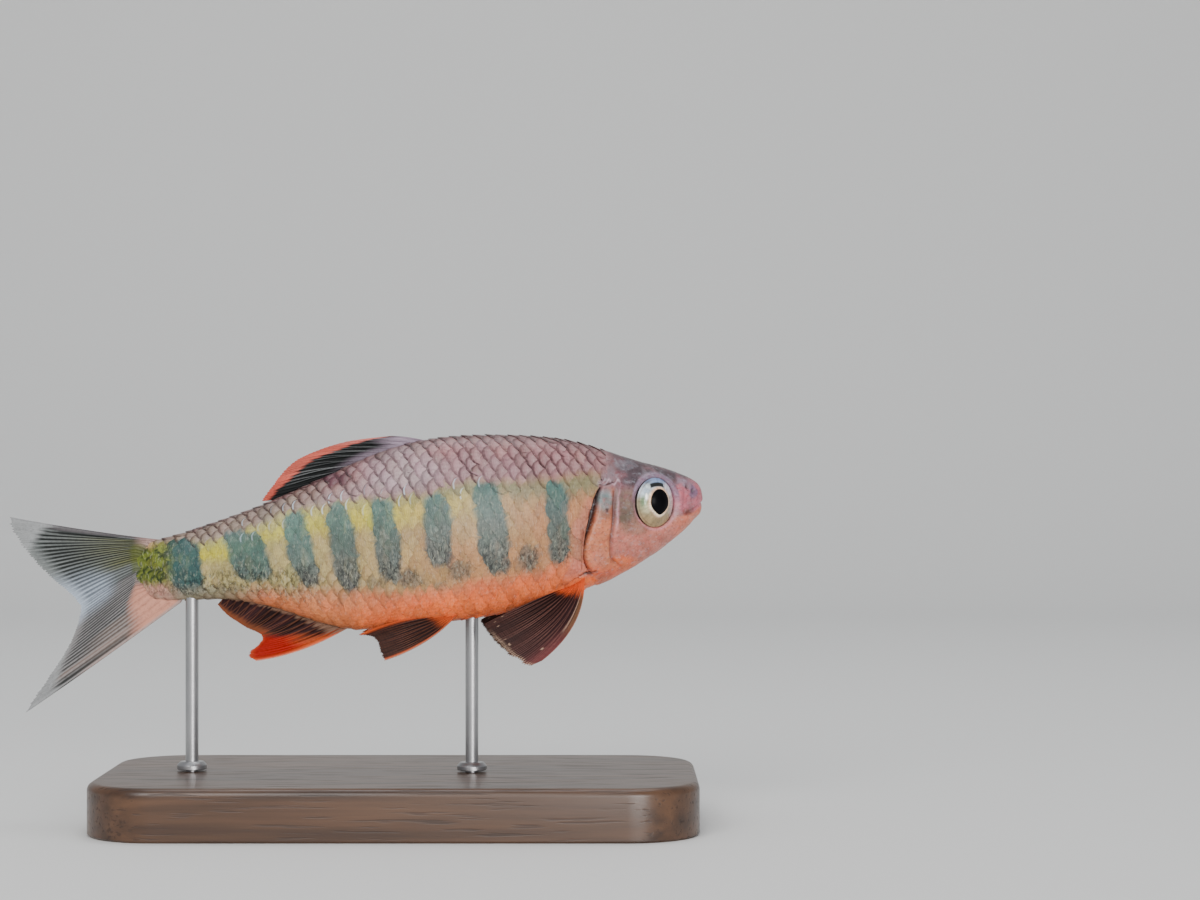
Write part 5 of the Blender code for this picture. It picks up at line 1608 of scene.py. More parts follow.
@dataclass
class Fin:
    """A fin whose branched rays stand as ridges on both faces of a thin membrane."""

    form: FishForm
    plan: FinPlan
    name: str
    root: Curve
    deep: Curve
    side: int = -1
    per_ray: int = 20
    steps: int = 78
    root_steps: int = 6
    membrane: float = 0.09 * MM
    root_rise: float = 0.17 * MM
    tip_rise: float = 0.05 * MM
    scallop: float = 0.018
    ragged: float = 0.008
    ripple: float = 0.16 * MM
    fillet: float = 0.35 * MM
    fillet_reach: float = 0.06
    colours: FinColours = FinColours()

    def rays_at(self, share: Array, run: Array) -> tuple[Array, Array]:
        """Height of the rays, 0 to 1, and the tone of each.

        Each ray is a bell across the membrane. From near its root it parts into two and from
        half way into four, spread evenly by the margin; the leading ray stays whole.

        Args:
            share: place from the first ray, 0, to the last, 1.
            run: place from the root, 0, to the margin, 1.

        Returns:
            The ridges' height, and a random tone that belongs to the nearest ray.
        """
        gap = 1 / (self.plan.rays - 1)
        rng = np.random.default_rng(17)
        height = np.zeros(np.broadcast_shapes(share.shape, run.shape))
        tone = np.zeros_like(height)
        first = ramp(run, 0.08, 0.75) * 0.25 * gap
        second = ramp(run, 0.4, 0.95) * 0.125 * gap
        for k in range(self.plan.rays):
            whole = k == 0
            shade = rng.uniform(-1, 1)
            late = rng.uniform(0.85, 1.1)
            for outer in (-1, 1):
                for inner in (-1, 1):
                    spread = 0.0 if whole else (outer * first + inner * second) * late
                    wide = gap * (0.2 - 0.12 * ramp(run, 0.1, 1)) * (1.4 if whole else 1)
                    ridge = np.exp(-(((share - k * gap - spread) / wide) ** 2))
                    tone = np.where(ridge > height, shade, tone)
                    height = np.maximum(height, ridge)
        return height, tone

    def paint_dorsal(self, share: Array, run: Array, ray: Array, tone: Array) -> Array:
        """Dark with fine pale rays, lavender in front, coral along the margin."""
        tones = self.colours
        fray = Grain(31)(share * 70, run * 1.5)
        colour = Paint(tones.dark_green)
        pale = ramp(ray, 0.72, 1) * (0.55 + 0.35 * tone) * ramp(share, 1, 0.7)
        colour.over(tones.pale_ray, pale)
        front = ramp(share + 0.35 * run, 0.38, 0.2)
        colour.over(tones.lavender, front * (0.8 + 0.2 * fray))
        colour.over(tones.lavender, 0.55 * ramp(run, 0.3, 0.05) * ramp(share, 0.85, 0.5))
        width = CORAL_WIDTH(share)
        band_here = ramp(run + 0.04 * fray + 0.03 * tone, 1 - width - 0.06, 1 - width + 0.04)
        rich = Paint(tones.coral).over(tones.coral_rear, ramp(share, 0.5, 1))
        rich.over(tones.coral_pale, 0.8 * ramp(share, 0.3, 0.05))
        rich = rich.shaded(1 - 0.4 * ramp(ray, 0.6, 0.2) + 0.1 * tone)
        return colour.over(rich, band_here * ramp(share, 0, 0.05))

    def paint_anal(self, share: Array, run: Array, ray: Array, tone: Array) -> Array:
        """Dark strokes over the middle, rust margin behind, red lobe with a pale edge in front."""
        tones = self.colours
        fray = Grain(32)(share * 60, run * 2)
        colour = Paint(tones.black_brown).over(tones.purple_brown, 0.5 + 0.5 * tone)
        colour.over(tones.orange_ray, 0.45 * ramp(ray, 0.65, 1) * (0.65 + 0.35 * fray))
        rust = ramp(run + 0.08 * fray, 0.66, 0.95) * ramp(share, 0.25, 0.4)
        colour.over(tones.rust, 0.85 * rust)
        start = 0.14 + 0.95 * ramp(share, 0, 0.5)
        red = ramp(run - start + 0.12 * fray + 0.08 * tone, -0.2, 0.24) * ramp(share, 0.46, 0.34)
        deep = ramp(run - 0.5 * share, 0.2, 0.55) * ramp(share, -0.02, 0.05)
        rich = Paint(tones.orange).over(tones.red, deep)
        rich.over(tones.fire, 0.6 * ramp(fray + tone, 0, 1.2))
        rich.over(tones.orange, 0.5 * ramp(run, 0.92, 1))
        colour.over(rich.shaded(0.86 + 0.14 * ramp(ray, 0.3, 0.8)), red)
        front = ramp(share, 0.05, 0.015) * ramp(run, 0.1, 0.3) * ramp(run, 0.75, 0.4)
        colour.over(tones.orange, 0.6 * front)
        colour.over(tones.salmon, 0.85 * ramp(share, 0.018, 0))
        return colour.over(tones.anal_base, 0.65 * ramp(run + 0.07 * fray, 0.16, 0.05))

    def paint_pelvic(self, share: Array, run: Array, ray: Array, tone: Array) -> Array:
        """Dark with pale orange rays and orange edges."""
        tones = self.colours
        fray = Grain(33)(share * 50, run * 2)
        colour = Paint(tones.black_brown).over(tones.purple_brown, 0.15 + 0.2 * tone)
        colour.over(tones.orange_ray, 0.5 * ramp(ray, 0.75, 1) * (0.75 + 0.25 * fray))
        colour.over(tones.orange, 0.7 * ramp(share, 0.08, 0.02))
        colour.over(tones.salmon, 0.7 * ramp(share, 0.03, 0))
        colour.over(tones.orange, 0.8 * ramp(share + 0.03 * fray, 0.86, 0.97))
        return colour.over(tones.orange, 0.85 * ramp(run + 0.05 * fray, 0.28, 0.08))

    def paint_pectoral(self, share: Array, run: Array, ray: Array, tone: Array) -> Array:
        """Dark brown with fine rays, a pale first ray, a wine red front lobe and an orange base."""
        tones = self.colours
        fray = Grain(34)(share * 60, run * 2)
        colour = Paint(tones.black_brown).over(tones.purple_brown, 0.5 * ramp(share, 0.7, 0.1))
        colour.over(tones.pink_ray, 0.85 * ramp(ray, 0.6, 0.95) * (0.7 + 0.3 * tone))
        colour.over(tones.amber, 0.45 * band(share, 0.01, 0.05, 0.015) * ramp(run, 0.7, 0.5))
        colour.over(tones.wine, 0.6 * ramp(share, 0.2, 0.02) * ramp(run, 0.4, 0.85))
        pale = bell(share, 1 / 12, 0.009) * ramp(run, 0.62, 0.5) * ramp(run, 0.05, 0.15)
        colour.over(tones.cream, 0.5 * pale)
        colour.over(tones.salmon, 0.5 * ramp(share, 0.014, 0))
        colour.over(tones.pectoral_base, 0.95 * ramp(run + 0.05 * fray, 0.22, 0.08))
        ends = ramp(ray, 0.6, 0.9) * ramp(run, 0.955, 0.985) * ramp(share, 0.9, 0.6)
        colour.over(tones.cream, 0.65 * ends)
        dots = ramp(Grain(35)(share * 30, run * 20), 0.8, 0.92) * band(run, 0.8, 0.95, 0.03)
        return colour.over(tones.cream, 0.6 * dots)

    def paint_tail(self, share: Array, run: Array, ray: Array, tone: Array) -> Array:
        """Grey with dark rays, bright round the fork, pale at the edges and salmon at the base."""
        tones = self.colours
        upper = self.plan.kind is FinKind.CAUDAL_UPPER
        fray = Grain(36)(share * 60, run * 3)
        base = tones.grey if upper else tones.low_grey
        middle = ramp(share, 0.5 if upper else 0.62, 0.92)
        colour = Paint(base).over(tones.bright_blue, middle * ramp(run, 0.25, 0.6))
        dark = ramp(ray, 0.35, 0.8) * (0.85 if upper else 0.6) * (0.85 + 0.2 * tone)
        dark = dark * (1 - 0.55 * middle) * ramp(run, 1.02, 0.8 if upper else 0.35)
        fine = 0.5 + 0.5 * np.cos(2 * np.pi * 2 * (self.plan.rays - 1) * share + 0.5 * fray)
        fine = ramp(fine, 0.2, 0.65) * ramp(run, -0.12, 0.08) * ramp(run, 1, 0.8)
        dark = np.maximum(0.45 * dark, (0.97 if upper else 0.82) * fine * (1 - 0.3 * middle))
        if upper:
            tint = ramp(run, 0.75, 0.15) * band(share, 0.15, 0.75, 0.08)
            colour.over(tones.olive, 0.65 * tint * (0.8 + 0.4 * fray))
        colour.over(tones.ray_black, np.clip(dark, 0, 1))
        if upper:
            streak = band(share, 0.065, 0.1, 0.02) * band(run, 0.3, 0.62, 0.1)
            colour.over(tones.ray_black, 0.8 * streak)
            colour.over(tones.tip, ramp(run + 0.03 * fray - 0.95 * share, 0.64, 0.74))
            colour.over(tones.smoke, 0.85 * ramp(share, 0.08, 0.04) * ramp(run, 0.8, 0.62))
            colour.over(tones.tail_pink, 0.8 * ramp(run + 0.4 * share, 0.2, 0.08))
            return colour.over(tones.moss, 0.6 * ramp(run, 0.1, 0.02) * ramp(share, 0.2, 0.35))
        colour.over(tones.tan, 0.22 * band(share, 0.06, 0.3, 0.05) * ramp(run, 0.75, 0.35))
        colour.over(tones.tan_line, 0.4 * bell(share, 0.13, 0.03) * band(run, 0.3, 0.8, 0.1))
        colour.over(tones.ray_black, 0.5 * bell(share, 0.06, 0.02) * band(run, 0.3, 0.75, 0.08))
        colour.over(tones.tip, 0.85 * ramp(run - 0.4 * share + 0.03 * fray, 0.74, 0.85))
        colour.over(tones.salmon, 0.95 * ramp(run + 0.42 * share + 0.02 * fray, 0.36, 0.2))
        return colour.over(tones.tan_edge, 0.85 * ramp(share, 0.045, 0.01) * ramp(run, 0.7, 0.5))

    def paint(self, share: Array, run: Array, ray: Array, tone: Array) -> Array:
        """Colour over the fin.

        Args:
            share: place from the first ray, 0, to the last, 1.
            run: place from the root, 0, to the margin, 1.
            ray: height of the rays, 0 to 1.
            tone: random tone of the nearest ray.

        Returns:
            Linear colours.
        """
        painters = {
            FinKind.DORSAL: self.paint_dorsal,
            FinKind.ANAL: self.paint_anal,
            FinKind.PELVIC: self.paint_pelvic,
            FinKind.PECTORAL: self.paint_pectoral,
        }
        colour = painters.get(self.plan.kind, self.paint_tail)(share, run, ray, tone)
        joints = 0.5 + 0.5 * np.sin(run * 120)
        shade = 1 - 0.14 * joints * ramp(ray, 0.5, 0.9) + 0.06 * Grain(37)(share * 50, run * 5)
        return colour.shaded(shade)

    def build(self, material: Material, node: str) -> bpy.types.Object:
        """Makes the fin.

        The middle surface runs straight from the root curve to the margin, pushed by the bow
        along a parabola, and from the root curve into the body; both faces stand off it by half
        the membrane and the rays' height.

        Args:
            material: the fin's finish.
            node: the node of the part that it stands for.

        Returns:
            The fin's object.
        """
        plan = self.plan
        columns = (plan.rays - 1) * self.per_ray + 1
        share = np.linspace(0, 1, columns)[:, None]
        inner = -np.linspace(1, 0, self.root_steps, endpoint=False)
        way = np.concatenate([inner, np.linspace(0, 1, self.steps)])[None, :]
        run = np.clip(way, 0, 1)
        ray, tone = self.rays_at(share, run)
        tear = Grain(51)(share * 46, 0 * share)
        reach = run * (1 - (self.scallop * (1 - ray[:, -1:]) + self.ragged * (1 + tear)) * run**4)
        curves = self.root, self.deep, span(plan.margin, self.side), span(plan.bow, self.side)
        start, deep, end, push = (curve(share[:, 0])[:, None, :] for curve in curves)
        arch = (4 * reach * (1 - reach))[..., None]
        middle = start + (end - start) * reach[..., None] + push * arch
        middle = middle + (deep - start) * np.clip(-way, 0, 1)[..., None]
        lean = np.array(plan.lean) * (1, -self.side, 1)
        lean = lean / np.linalg.norm(lean)
        ripple = self.ripple * Grain(plan.ripple_seed - (self.side > 0))(share * 7, 1.5 * run) * run
        middle = middle + ripple[..., None] * lean
        rise = self.root_rise + (self.tip_rise - self.root_rise) * ramp(run, 0, 0.9)
        fillet = self.fillet * bell(run, 0, self.fillet_reach)
        thick = self.membrane * (1 - 0.5 * ramp(run, 0.9, 1)) + 2 * rise * ray + fillet
        shift = lean * (thick / 2)[..., None]
        colour = self.paint(share + 0 * run, run + 0 * share, ray, tone)
        rows, line = middle.shape[:2]
        rim = outline(rows, line)
        count = rows * line
        points = np.concatenate([(middle + shift).reshape(-1, 3), (middle - shift).reshape(-1, 3)])
        quads = grid_faces(rows, line)
        faces = [quads, quads[:, ::-1] + count, wall_faces(quads, rim, rim + count)]
        piece = Piece(self.name, self.form.bend(points), faces, sharp=60)
        piece.colour("marking", np.concatenate([colour.reshape(-1, 3)] * 2))
        piece.value("shows", np.concatenate([self.shows(share, run, ray).ravel()] * 2))
        u = (0.02 + 0.46 * share + 0 * way).ravel()
        v = (0.02 + 0.08 * (1 + np.clip(way, -1, 0)) + 0.88 * run + 0 * share).ravel()
        piece.unwrap(np.concatenate([joined(u, v), joined(u + 0.5, v)]))
        return piece.finish(material, "fin_web", node)

    def shows(self, share: Array, run: Array, ray: Array) -> Array:
        """How opaque the fin is: all of it, but for the thin membrane at the tail's tips."""
        if self.plan.kind not in (FinKind.CAUDAL_UPPER, FinKind.CAUDAL_LOWER):
            return np.ones(ray.shape)
        tips = ramp(run - 0.9 * share, 0.7, 0.95)
        return 1 - 0.4 * tips * (1 - 0.5 * ramp(ray, 0.3, 0.8))


def span(rows: tuple, side: int = -1) -> Curve:
    """A smooth curve through rows of share, x, y, z in millimetres, turned over for side 1."""
    table = np.array(rows, float)
    return spline(table[:, 0], table[:, 1:] * MM * (1, -side, 1))


@dataclass
class Fins:
    """All eight fins, with their roots in the flesh."""

    form: FishForm
    sink: float = 0.35 * MM
    deep_sink: float = 1.3 * MM

    def ridge_root(self, ends: Pair, edge: int, sink: float) -> Curve:
        """A line under the body's back line, edge 0, or over its belly line, edge 1."""

        def at(share: Array) -> Array:
            """Places along the line."""
            x = ends[0] + (ends[1] - ends[0]) * share
            off = -sink if edge == 0 else sink
            return np.stack([x, np.zeros_like(x), self.form.sizes(x)[edge] + off], axis=-1)

        return at

    def flank_root(self, places: tuple, side: int, sink: float) -> Curve:
        """The short root of a paired fin, under the flank's skin."""
        first, last = (self.form.flank(x, z, side, -sink) for x, z in places)

        def at(share: Array) -> Array:
            """Places along the line."""
            return first + (last - first) * share[:, None]

        return at

    def build(self, material: Material) -> None:
        """Makes the middle fins and both pairs."""
        form = self.form
        for plan, ends, edge, name, node in (
            (DORSAL, DORSAL_ROOT_X, 0, "fin_dorsal", "dorsal_fin"),
            (ANAL, ANAL_ROOT_X, 1, "fin_anal", "anal_fin"),
        ):
            root, deep = (self.ridge_root(ends, edge, sink) for sink in (self.sink, self.deep_sink))
            Fin(form, plan, name, root, deep).build(material, node)
        for plan, rows, name, node in (
            (CAUDAL_UPPER, CAUDAL_UPPER_DEEP, "fin_caudal_upper", "caudal_fin_upper"),
            (CAUDAL_LOWER, CAUDAL_LOWER_DEEP, "fin_caudal_lower", "caudal_fin_lower"),
        ):
            Fin(form, plan, name, span(plan.root), span(rows)).build(material, node)
        for word, side in (("right", -1), ("left", 1)):
            for plan, places, kind in (
                (PECTORAL, PECTORAL_ROOT, "pectoral"),
                (PELVIC, PELVIC_ROOT, "pelvic"),
            ):
                root, deep = (self.flank_root(places, side, sink) for sink in (self.sink, self.deep_sink))
                fin = Fin(form, plan, "fin_" + kind + "_" + word, root, deep, side)
                fin.build(material, kind + "_fin_" + word)


@dataclass
class Stand:
    """The flat base and the two rods."""

    form: FishForm
    length: float = 92.0 * MM
    width: float = 48.0 * MM
    height: float = 8.0 * MM
    corner: float = 11.0 * MM
    corner_steps: int = 18
    edge: float = 1.2 * MM
    rod_radius: float = 1.0 * MM
    rod_sink: float = 4.0 * MM
    rod_in_body: float = 2.4 * MM
    collar: Triple = (2.3 * MM, 1.85 * MM, 1.2 * MM)
    seat_gap: float = 0.3 * MM
    rods: tuple = (("stand_rod_front", 11.2 * MM), ("stand_rod_rear", -32.2 * MM))

    def base(self, material: Material) -> None:
        """The plate: a profile carried round a rectangle with round corners."""
        quarter = np.linspace(0, math.pi / 2, self.corner_steps)
        angle = np.concatenate([quarter + k * math.pi / 2 for k in range(4)])
        sign_x = np.repeat([1, -1, -1, 1], self.corner_steps)
        sign_y = np.repeat([1, 1, -1, -1], self.corner_steps)
        centre_x = sign_x * (self.length / 2 - self.corner)
        centre_y = sign_y * (self.width / 2 - self.corner)
        turn = np.linspace(0, math.pi / 2, 7)
        round_in = self.edge * (1 - np.cos(turn))
        round_z = self.height - self.edge + self.edge * np.sin(turn)
        inset = np.concatenate([[0.35 * MM, 0, 0], round_in, [self.edge + 0.5 * MM]])
        z = np.concatenate([[0, 0.35 * MM, 2.0 * MM], round_z, [self.height]])
        radius = (self.corner - inset)[:, None]
        x = centre_x + radius * np.cos(angle)
        y = centre_y + radius * np.sin(angle)
        rings = np.stack([x, y, z[:, None] + 0 * x], axis=-1)
        piece = Piece("base_plate", rings, capped_faces(*rings.shape[:2]), sharp=30)
        piece.finish(material, "stand_wood", "stand_base")

    def rod(self, node: str, x: float, material: Material) -> None:
        """A turned rod with its collar, from the base up into the belly."""
        belly = float(self.form.sizes(np.array(x))[1])
        place = self.form.bend(np.array((x, 0, belly)))
        seat = self.height + self.seat_gap
        top = belly + self.rod_in_body
        wide, upper, high = self.collar
        profile = np.array(
            [
                (self.rod_radius, self.height - self.rod_sink),
                (self.rod_radius, seat),
                (wide - 0.1 * MM, seat),
                (wide, seat + 0.1 * MM),
                (wide, seat + 0.62 * MM),
                (wide - 0.1 * MM, seat + 0.78 * MM),
                (upper, seat + high - 0.06 * MM),
                (upper - 0.08 * MM, seat + high),
                (self.rod_radius + 0.05 * MM, seat + high),
                (self.rod_radius, seat + high + 0.05 * MM),
                (self.rod_radius, top - 0.4 * MM),
                (0.6 * MM, top),
            ]
        )
        angle = turns(48)[None, :]
        ring_x = place[0] + profile[:, :1] * np.cos(angle)
        ring_y = place[1] + profile[:, :1] * np.sin(angle)
        rings = np.stack([ring_x, ring_y, profile[:, 1:] + 0 * ring_x], axis=-1)
        faces = capped_faces(*rings.shape[:2])
        piece = Piece(node.replace("stand_", "steel_"), rings, faces, sharp=25)
        piece.finish(material, "stand_steel", node)

    def build(self, wood: Material, steel: Material) -> None:
        """Makes the base and both rods."""
        self.base(wood)
        for node, x in self.rods:
            self.rod(node, x, steel)


@dataclass(frozen=True)
class SkinFinish:
    """Wet skin with fine speckles."""

    roughness: float = 0.36
    grain: float = 2600.0

    def material(self) -> Material:
        """The skin's material: markings from the mesh, flecks of rose and blue, and a fine bump."""
        tree = Tree("skin_finish")
        where = tree.place()
        speck = tree.noise(where, self.grain, 2)
        cloud = tree.noise(where, 900, 4, 0.65)
        other = tree.noise(tree.place((1, 1, 1.6)), 1300, 3, 0.6)
        mark = tree.read("marking", "Color")
        rose = tree.mix(cloud.step(0.48, 0.62) * 0.5, mark, (1, 0.66, 0.68), "MULTIPLY")
        blue = tree.mix(other.step(0.54, 0.68) * 0.2, rose, (0.42, 0.46, 0.52))
        dark = tree.mix(speck.step(0.52, 0.68) * 0.45, blue, (0.42, 0.32, 0.36), "MULTIPLY")
        height = speck * 0.35 + cloud + other * 0.5
        inputs = {
            "Base Color": dark,
            "Roughness": cloud * 0.18 + (self.roughness - 0.08),
            "Normal": tree.bump(height, 0.00014, 0.6),
            "Specular IOR Level": 0.3,
            "Coat Weight": 0.12,
            "Coat Roughness": 0.2,
        }
        return tree.dress(inputs)


@dataclass(frozen=True)
class ScaleFinish:
    """Pearly scales with dark free edges, upright streaks and growth rings; painted shade darkens each scale
    towards its free edge and along its lower half, a painted highlight lightens its middle, and some edges
    carry painted glints.
    """

    roughness: float = 0.36

    def material(self) -> Material:
        """The scales' material, from the values that the plates keep."""
        tree = Tree("scale_finish")
        speck = tree.noise(tree.place(), 2300, 2)
        streak = tree.noise(tree.place((1, 1, 0.22)), 3000, 3, 0.6)
        other = tree.noise(tree.place((1, 1, 0.4)), 3100, 3, 0.6)
        wild = tree.noise(tree.place((1, 1, 0.5)), 2100, 4, 0.7)
        rim = tree.read("rim")
        net = tree.read("net")
        glint = tree.read("glint")
        mark = tree.read("marking", "Color")
        # Painted shade: each scale darker towards its free edge, as a domed scale is shaded.
        toned = tree.mix(rim.step(0.3, 0.9) * net * 0.35, mark, (0.6, 0.48, 0.52), "MULTIPLY")
        side = tree.read("across")
        # The dark free edge: pigment, broken by noise, and stronger on the lower half of each scale as
        # painted shade.
        broken_and_shaded = (wild.step(0.38, 0.6) * 0.35 + 0.65) * (side * 0.2 + 0.8)
        toned = tree.mix(rim.step(0.78, 0.92) * net * broken_and_shaded, toned, (0.15, 0.085, 0.1), "MULTIPLY")
        # Painted highlight in the middle of each scale.
        centre_highlight = rim.step(0.3, 0.5) * (1 - rim.step(0.6, 0.8)) * (1 - (side * side).step(0.1, 0.5))
        toned = tree.mix(centre_highlight * net * 0.14, toned, (0.62, 0.5, 0.48))
        plainly = 1 - net.step(0.3, 0.8)
        toned = tree.mix(streak.step(0.5, 0.62) * plainly * 0.36, toned, (0.6, 0.54, 0.5), "MULTIPLY")
        ribs = (side * 17).sine() * 0.5 + 0.5
        toned = tree.mix(ribs * rim.step(0.25, 0.5) * 0.22, toned, (0.62, 0.58, 0.6), "MULTIPLY")
        scrawl = wild.step(0.5, 0.56) * tree.read("scrawl")
        toned = tree.mix(scrawl * 0.9, toned, (0.3, 0.31, 0.33), "MULTIPLY")
        brush = other.step(0.54, 0.64) * tree.read("scrawl")
        toned = tree.mix(brush * 0.24, toned, (0.36, 0.38, 0.26))
        toned = tree.mix(speck.step(0.52, 0.7) * 0.35, toned, (0.45, 0.36, 0.42), "MULTIPLY")
        pale = tree.mix(other.step(0.53, 0.68) * 0.08, toned, (0.78, 0.76, 0.66))
        # Painted glints: a pale bluish line along part of some free edges.
        low = side + 0.3
        narrow = 1 - (low * low).step(0.12, 0.3)
        shine = rim.step(0.82, 0.87) * (1 - rim.step(0.9, 0.95)) * glint * narrow
        done = tree.mix(shine, pale, (0.66, 0.8, 0.9))
        rings = (rim * 55).sine() * 0.5 + 0.5
        height = rings * 0.2 + speck * 0.4 + streak * 0.7
        inputs = {
            "Base Color": done,
            "Roughness": streak * 0.2 + (self.roughness - 0.07),
            "Normal": tree.bump(height, 0.0001, 0.42),
            "Specular IOR Level": 0.25,
            "Coat Weight": 0.08,
            "Coat Roughness": 0.2,
        }
        return tree.dress(inputs)


@dataclass(frozen=True)
class FinFinish:
    """Wet membrane, part clear where the mesh says so."""

    roughness: float = 0.42

    def material(self) -> Material:
        """The fins' material."""
        tree = Tree("fin_finish")
        speck = tree.noise(tree.place(), 2600, 2)
        mark = tree.read("marking", "Color")
        toned = tree.mix(speck.step(0.5, 0.7) * 0.3, mark, (0.5, 0.45, 0.48), "MULTIPLY")
        inputs = {
            "Base Color": toned,
            "Roughness": speck * 0.2 + (self.roughness - 0.08),
            "Alpha": tree.read("shows"),
            "Normal": tree.bump(speck, 0.00005, 0.4),
            "Specular IOR Level": 0.1,
        }
        return tree.dress(inputs)


@dataclass(frozen=True)
class IrisFinish:
    """Silvery iris under a clear, wet front."""

    def material(self) -> Material:
        """The eyeball's material."""
        tree = Tree("iris_finish")
        flake = tree.noise(tree.place(), 5200, 2)
        mark = tree.read("marking", "Color")
        toned = tree.mix(flake.step(0.45, 0.75) * 0.35, mark, (0.58, 0.55, 0.5), "MULTIPLY")
        inputs = {
            "Base Color": toned,
            "Metallic": 0.15,
            "Roughness": flake * 0.2 + 0.25,
            "Normal": tree.bump(flake, 0.00004, 0.3),
            "Coat Weight": 0.45,
            "Coat Roughness": 0.05,
        }
        return tree.dress(inputs)


@dataclass(frozen=True)
class LensFinish:
    """Deep black pupil with a soft gloss."""

    def material(self) -> Material:
        """The lens's material, a trace lighter in clouds."""
        tree = Tree("lens_finish")
        cloud = tree.noise(tree.place(), 700, 2)
        colour = tree.mix(cloud, (0.001, 0.001, 0.0015), (0.004, 0.004, 0.005))
        return tree.dress({"Base Color": colour, "Roughness": 0.3, "Specular IOR Level": 0.05})


@dataclass(frozen=True)
class WoodFinish:
    """Dark oiled hardwood with its grain along the base."""

    dark: Colour = (0.03, 0.014, 0.007)
    light: Colour = (0.105, 0.05, 0.024)

    def material(self) -> Material:
        """The base's material: long fine lines, slow bands, pores and a satin surface."""
        tree = Tree("wood_finish")
        sway = tree.noise(tree.place((5, 14, 14)), 1, 2)
        lines = tree.noise(tree.place((9, 260, 220)), 1.6, 5, 0.62)
        slow = tree.noise(tree.place((3, 60, 50)), 1.2, 3)
        rings = ((slow * 2.2 + sway * 1.2) * 22).sine() * 0.5 + 0.5
        pores = tree.noise(tree.place((90, 2200, 1600)), 1, 2).step(0.56, 0.68)
        colour = tree.mix(rings * 0.35 + lines.step(0.3, 0.7) * 0.65, self.dark, self.light)
        done = tree.mix(pores * 0.6, colour, (0.3, 0.24, 0.2), "MULTIPLY")
        inputs = {
            "Base Color": done,
            "Roughness": pores * 0.2 + 0.34,
            "Normal": tree.bump(lines * 0.5 - pores, 0.00006, 0.35),
            "Coat Weight": 0.12,
            "Coat Roughness": 0.25,
        }
        return tree.dress(inputs)


@dataclass(frozen=True)
class SteelFinish:
    """Satin turned steel."""

    def material(self) -> Material:
        """The rods' material, with fine lines round them."""
        tree = Tree("steel_finish")
        turning = tree.noise(tree.place((60, 60, 9000)), 1, 2)
        stain = tree.noise(tree.place(), 260, 3)
        colour = tree.mix(stain, (0.34, 0.34, 0.35), (0.48, 0.48, 0.48))
        inputs = {
            "Base Color": colour,
            "Metallic": 1,
            "Roughness": turning * 0.16 + 0.28,
            "Normal": tree.bump(turning, 0.00002, 0.3),
        }
        return tree.dress(inputs)


@dataclass(frozen=True)
class FloorFinish:
    """Plain pale floor."""

    colour: Colour = (0.72, 0.72, 0.7)

    def material(self) -> Material:
        """The floor's material."""
        tree = Tree("floor_finish")
        cloud = tree.noise(tree.place(), 4, 2)
        colour = tree.mix(cloud * 0.3, self.colour, (0.68, 0.68, 0.67))
        return tree.dress({"Base Color": colour, "Roughness": 0.8})


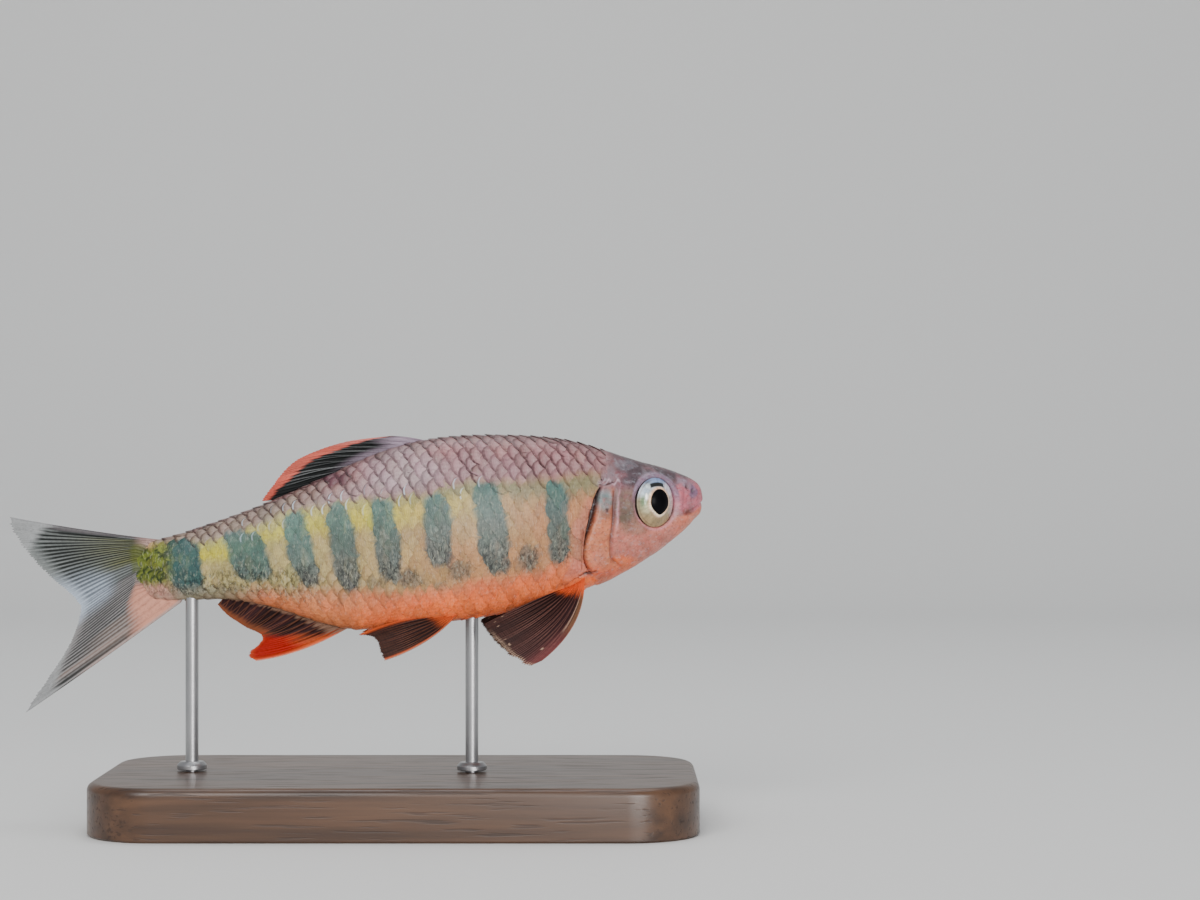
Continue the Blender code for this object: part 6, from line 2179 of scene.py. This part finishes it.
@dataclass
class Studio:
    """Camera at the photograph's angle, soft lights and a pale floor that sweeps up behind."""

    camera_place: Triple = (0.031, -0.439, 0.0577)
    lens: float = 85.0
    sensor: float = 36.0
    floor_half: float = 2.2
    floor_front: float = -6.0
    wall_at: float = 0.55
    sweep: float = 0.35
    wall_height: float = 1.8

    def camera(self) -> None:
        """Sets the camera, level and square to the fish."""
        data = bpy.data.cameras.new("camera")
        data.lens = self.lens
        data.sensor_width = self.sensor
        data.clip_start = 0.01
        made = bpy.data.objects.new("camera", data)
        made.location = self.camera_place
        made.rotation_euler = (math.pi / 2, 0, 0)
        bpy.context.scene.collection.objects.link(made)
        bpy.context.scene.camera = made

    def light(self, name: str, place: Triple, aim: Triple, size: float, power: float, colour: Colour) -> None:
        """Adds one soft square light that looks at a point."""
        data = bpy.data.lights.new(name, "AREA")
        data.size = size
        data.energy = power
        data.color = colour
        made = bpy.data.objects.new(name, data)
        away = np.array(place) - np.array(aim)
        flat = math.hypot(away[0], away[1])
        made.location = place
        made.rotation_euler = (math.atan2(flat, away[2]), 0, math.atan2(away[0], -away[1]))
        bpy.context.scene.collection.objects.link(made)

    def floor(self, material: Material) -> None:
        """A sheet along a profile: flat, a quarter round, then upright."""
        turn = np.linspace(0, math.pi / 2, 24)
        back = self.wall_at + self.sweep
        y = np.concatenate([[self.floor_front], self.wall_at + self.sweep * np.sin(turn), [back]])
        z = np.concatenate([[0], self.sweep * (1 - np.cos(turn)), [self.wall_height]])
        x = np.array([-self.floor_half, self.floor_half])[None, :]
        points = joined(x, y[:, None], z[:, None]).reshape(-1, 3)
        mesh = bpy.data.meshes.new("floor")
        mesh.from_pydata(points.tolist(), [], grid_faces(len(y), 2)[:, ::-1].tolist())
        mesh.shade_smooth()
        mesh.materials.append(material)
        made = bpy.data.objects.new("floor", mesh)
        bpy.context.scene.collection.objects.link(made)

    def build(self, material: Material) -> None:
        """Sets camera, lights, world and floor."""
        self.camera()
        aim = (0, 0, 0.045)
        self.light("key", (-0.3, -0.85, 0.62), aim, 0.6, 7.2, (1, 0.985, 0.97))
        self.light("low_fill", (0.3, -0.85, 0.1), aim, 0.4, 7, (1, 0.98, 0.97))
        self.light("top", (0.05, 0.15, 0.9), aim, 0.5, 3.5, (0.95, 0.97, 1))
        world = bpy.data.worlds.new("studio")
        world.use_nodes = True
        world.node_tree.nodes["Background"].inputs["Color"].default_value = (0.9, 0.93, 1, 1)
        world.node_tree.nodes["Background"].inputs["Strength"].default_value = 0.45
        bpy.context.scene.world = world
        self.floor(material)


def main() -> None:
    """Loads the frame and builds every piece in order."""
    logging.basicConfig(level=logging.INFO, format="%(name)s: %(message)s")
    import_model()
    form = FishForm()
    girth = Girth(form)
    relief = Relief(form)
    markings = Markings(form, relief)
    Studio().build(FloorFinish().material())
    Skin(form, relief, markings).build(SkinFinish().material())
    ScaleCoat(form, girth, relief, markings).build(ScaleFinish().material())
    iris, lens = IrisFinish().material(), LensFinish().material()
    for side, side_name in ((-1, "right"), (1, "left")):
        Eye(form, side, side_name).build(iris, lens)
    Fins(form).build(FinFinish().material())
    Stand(form).build(WoodFinish().material(), SteelFinish().material())


if __name__ == "__main__":
    main()
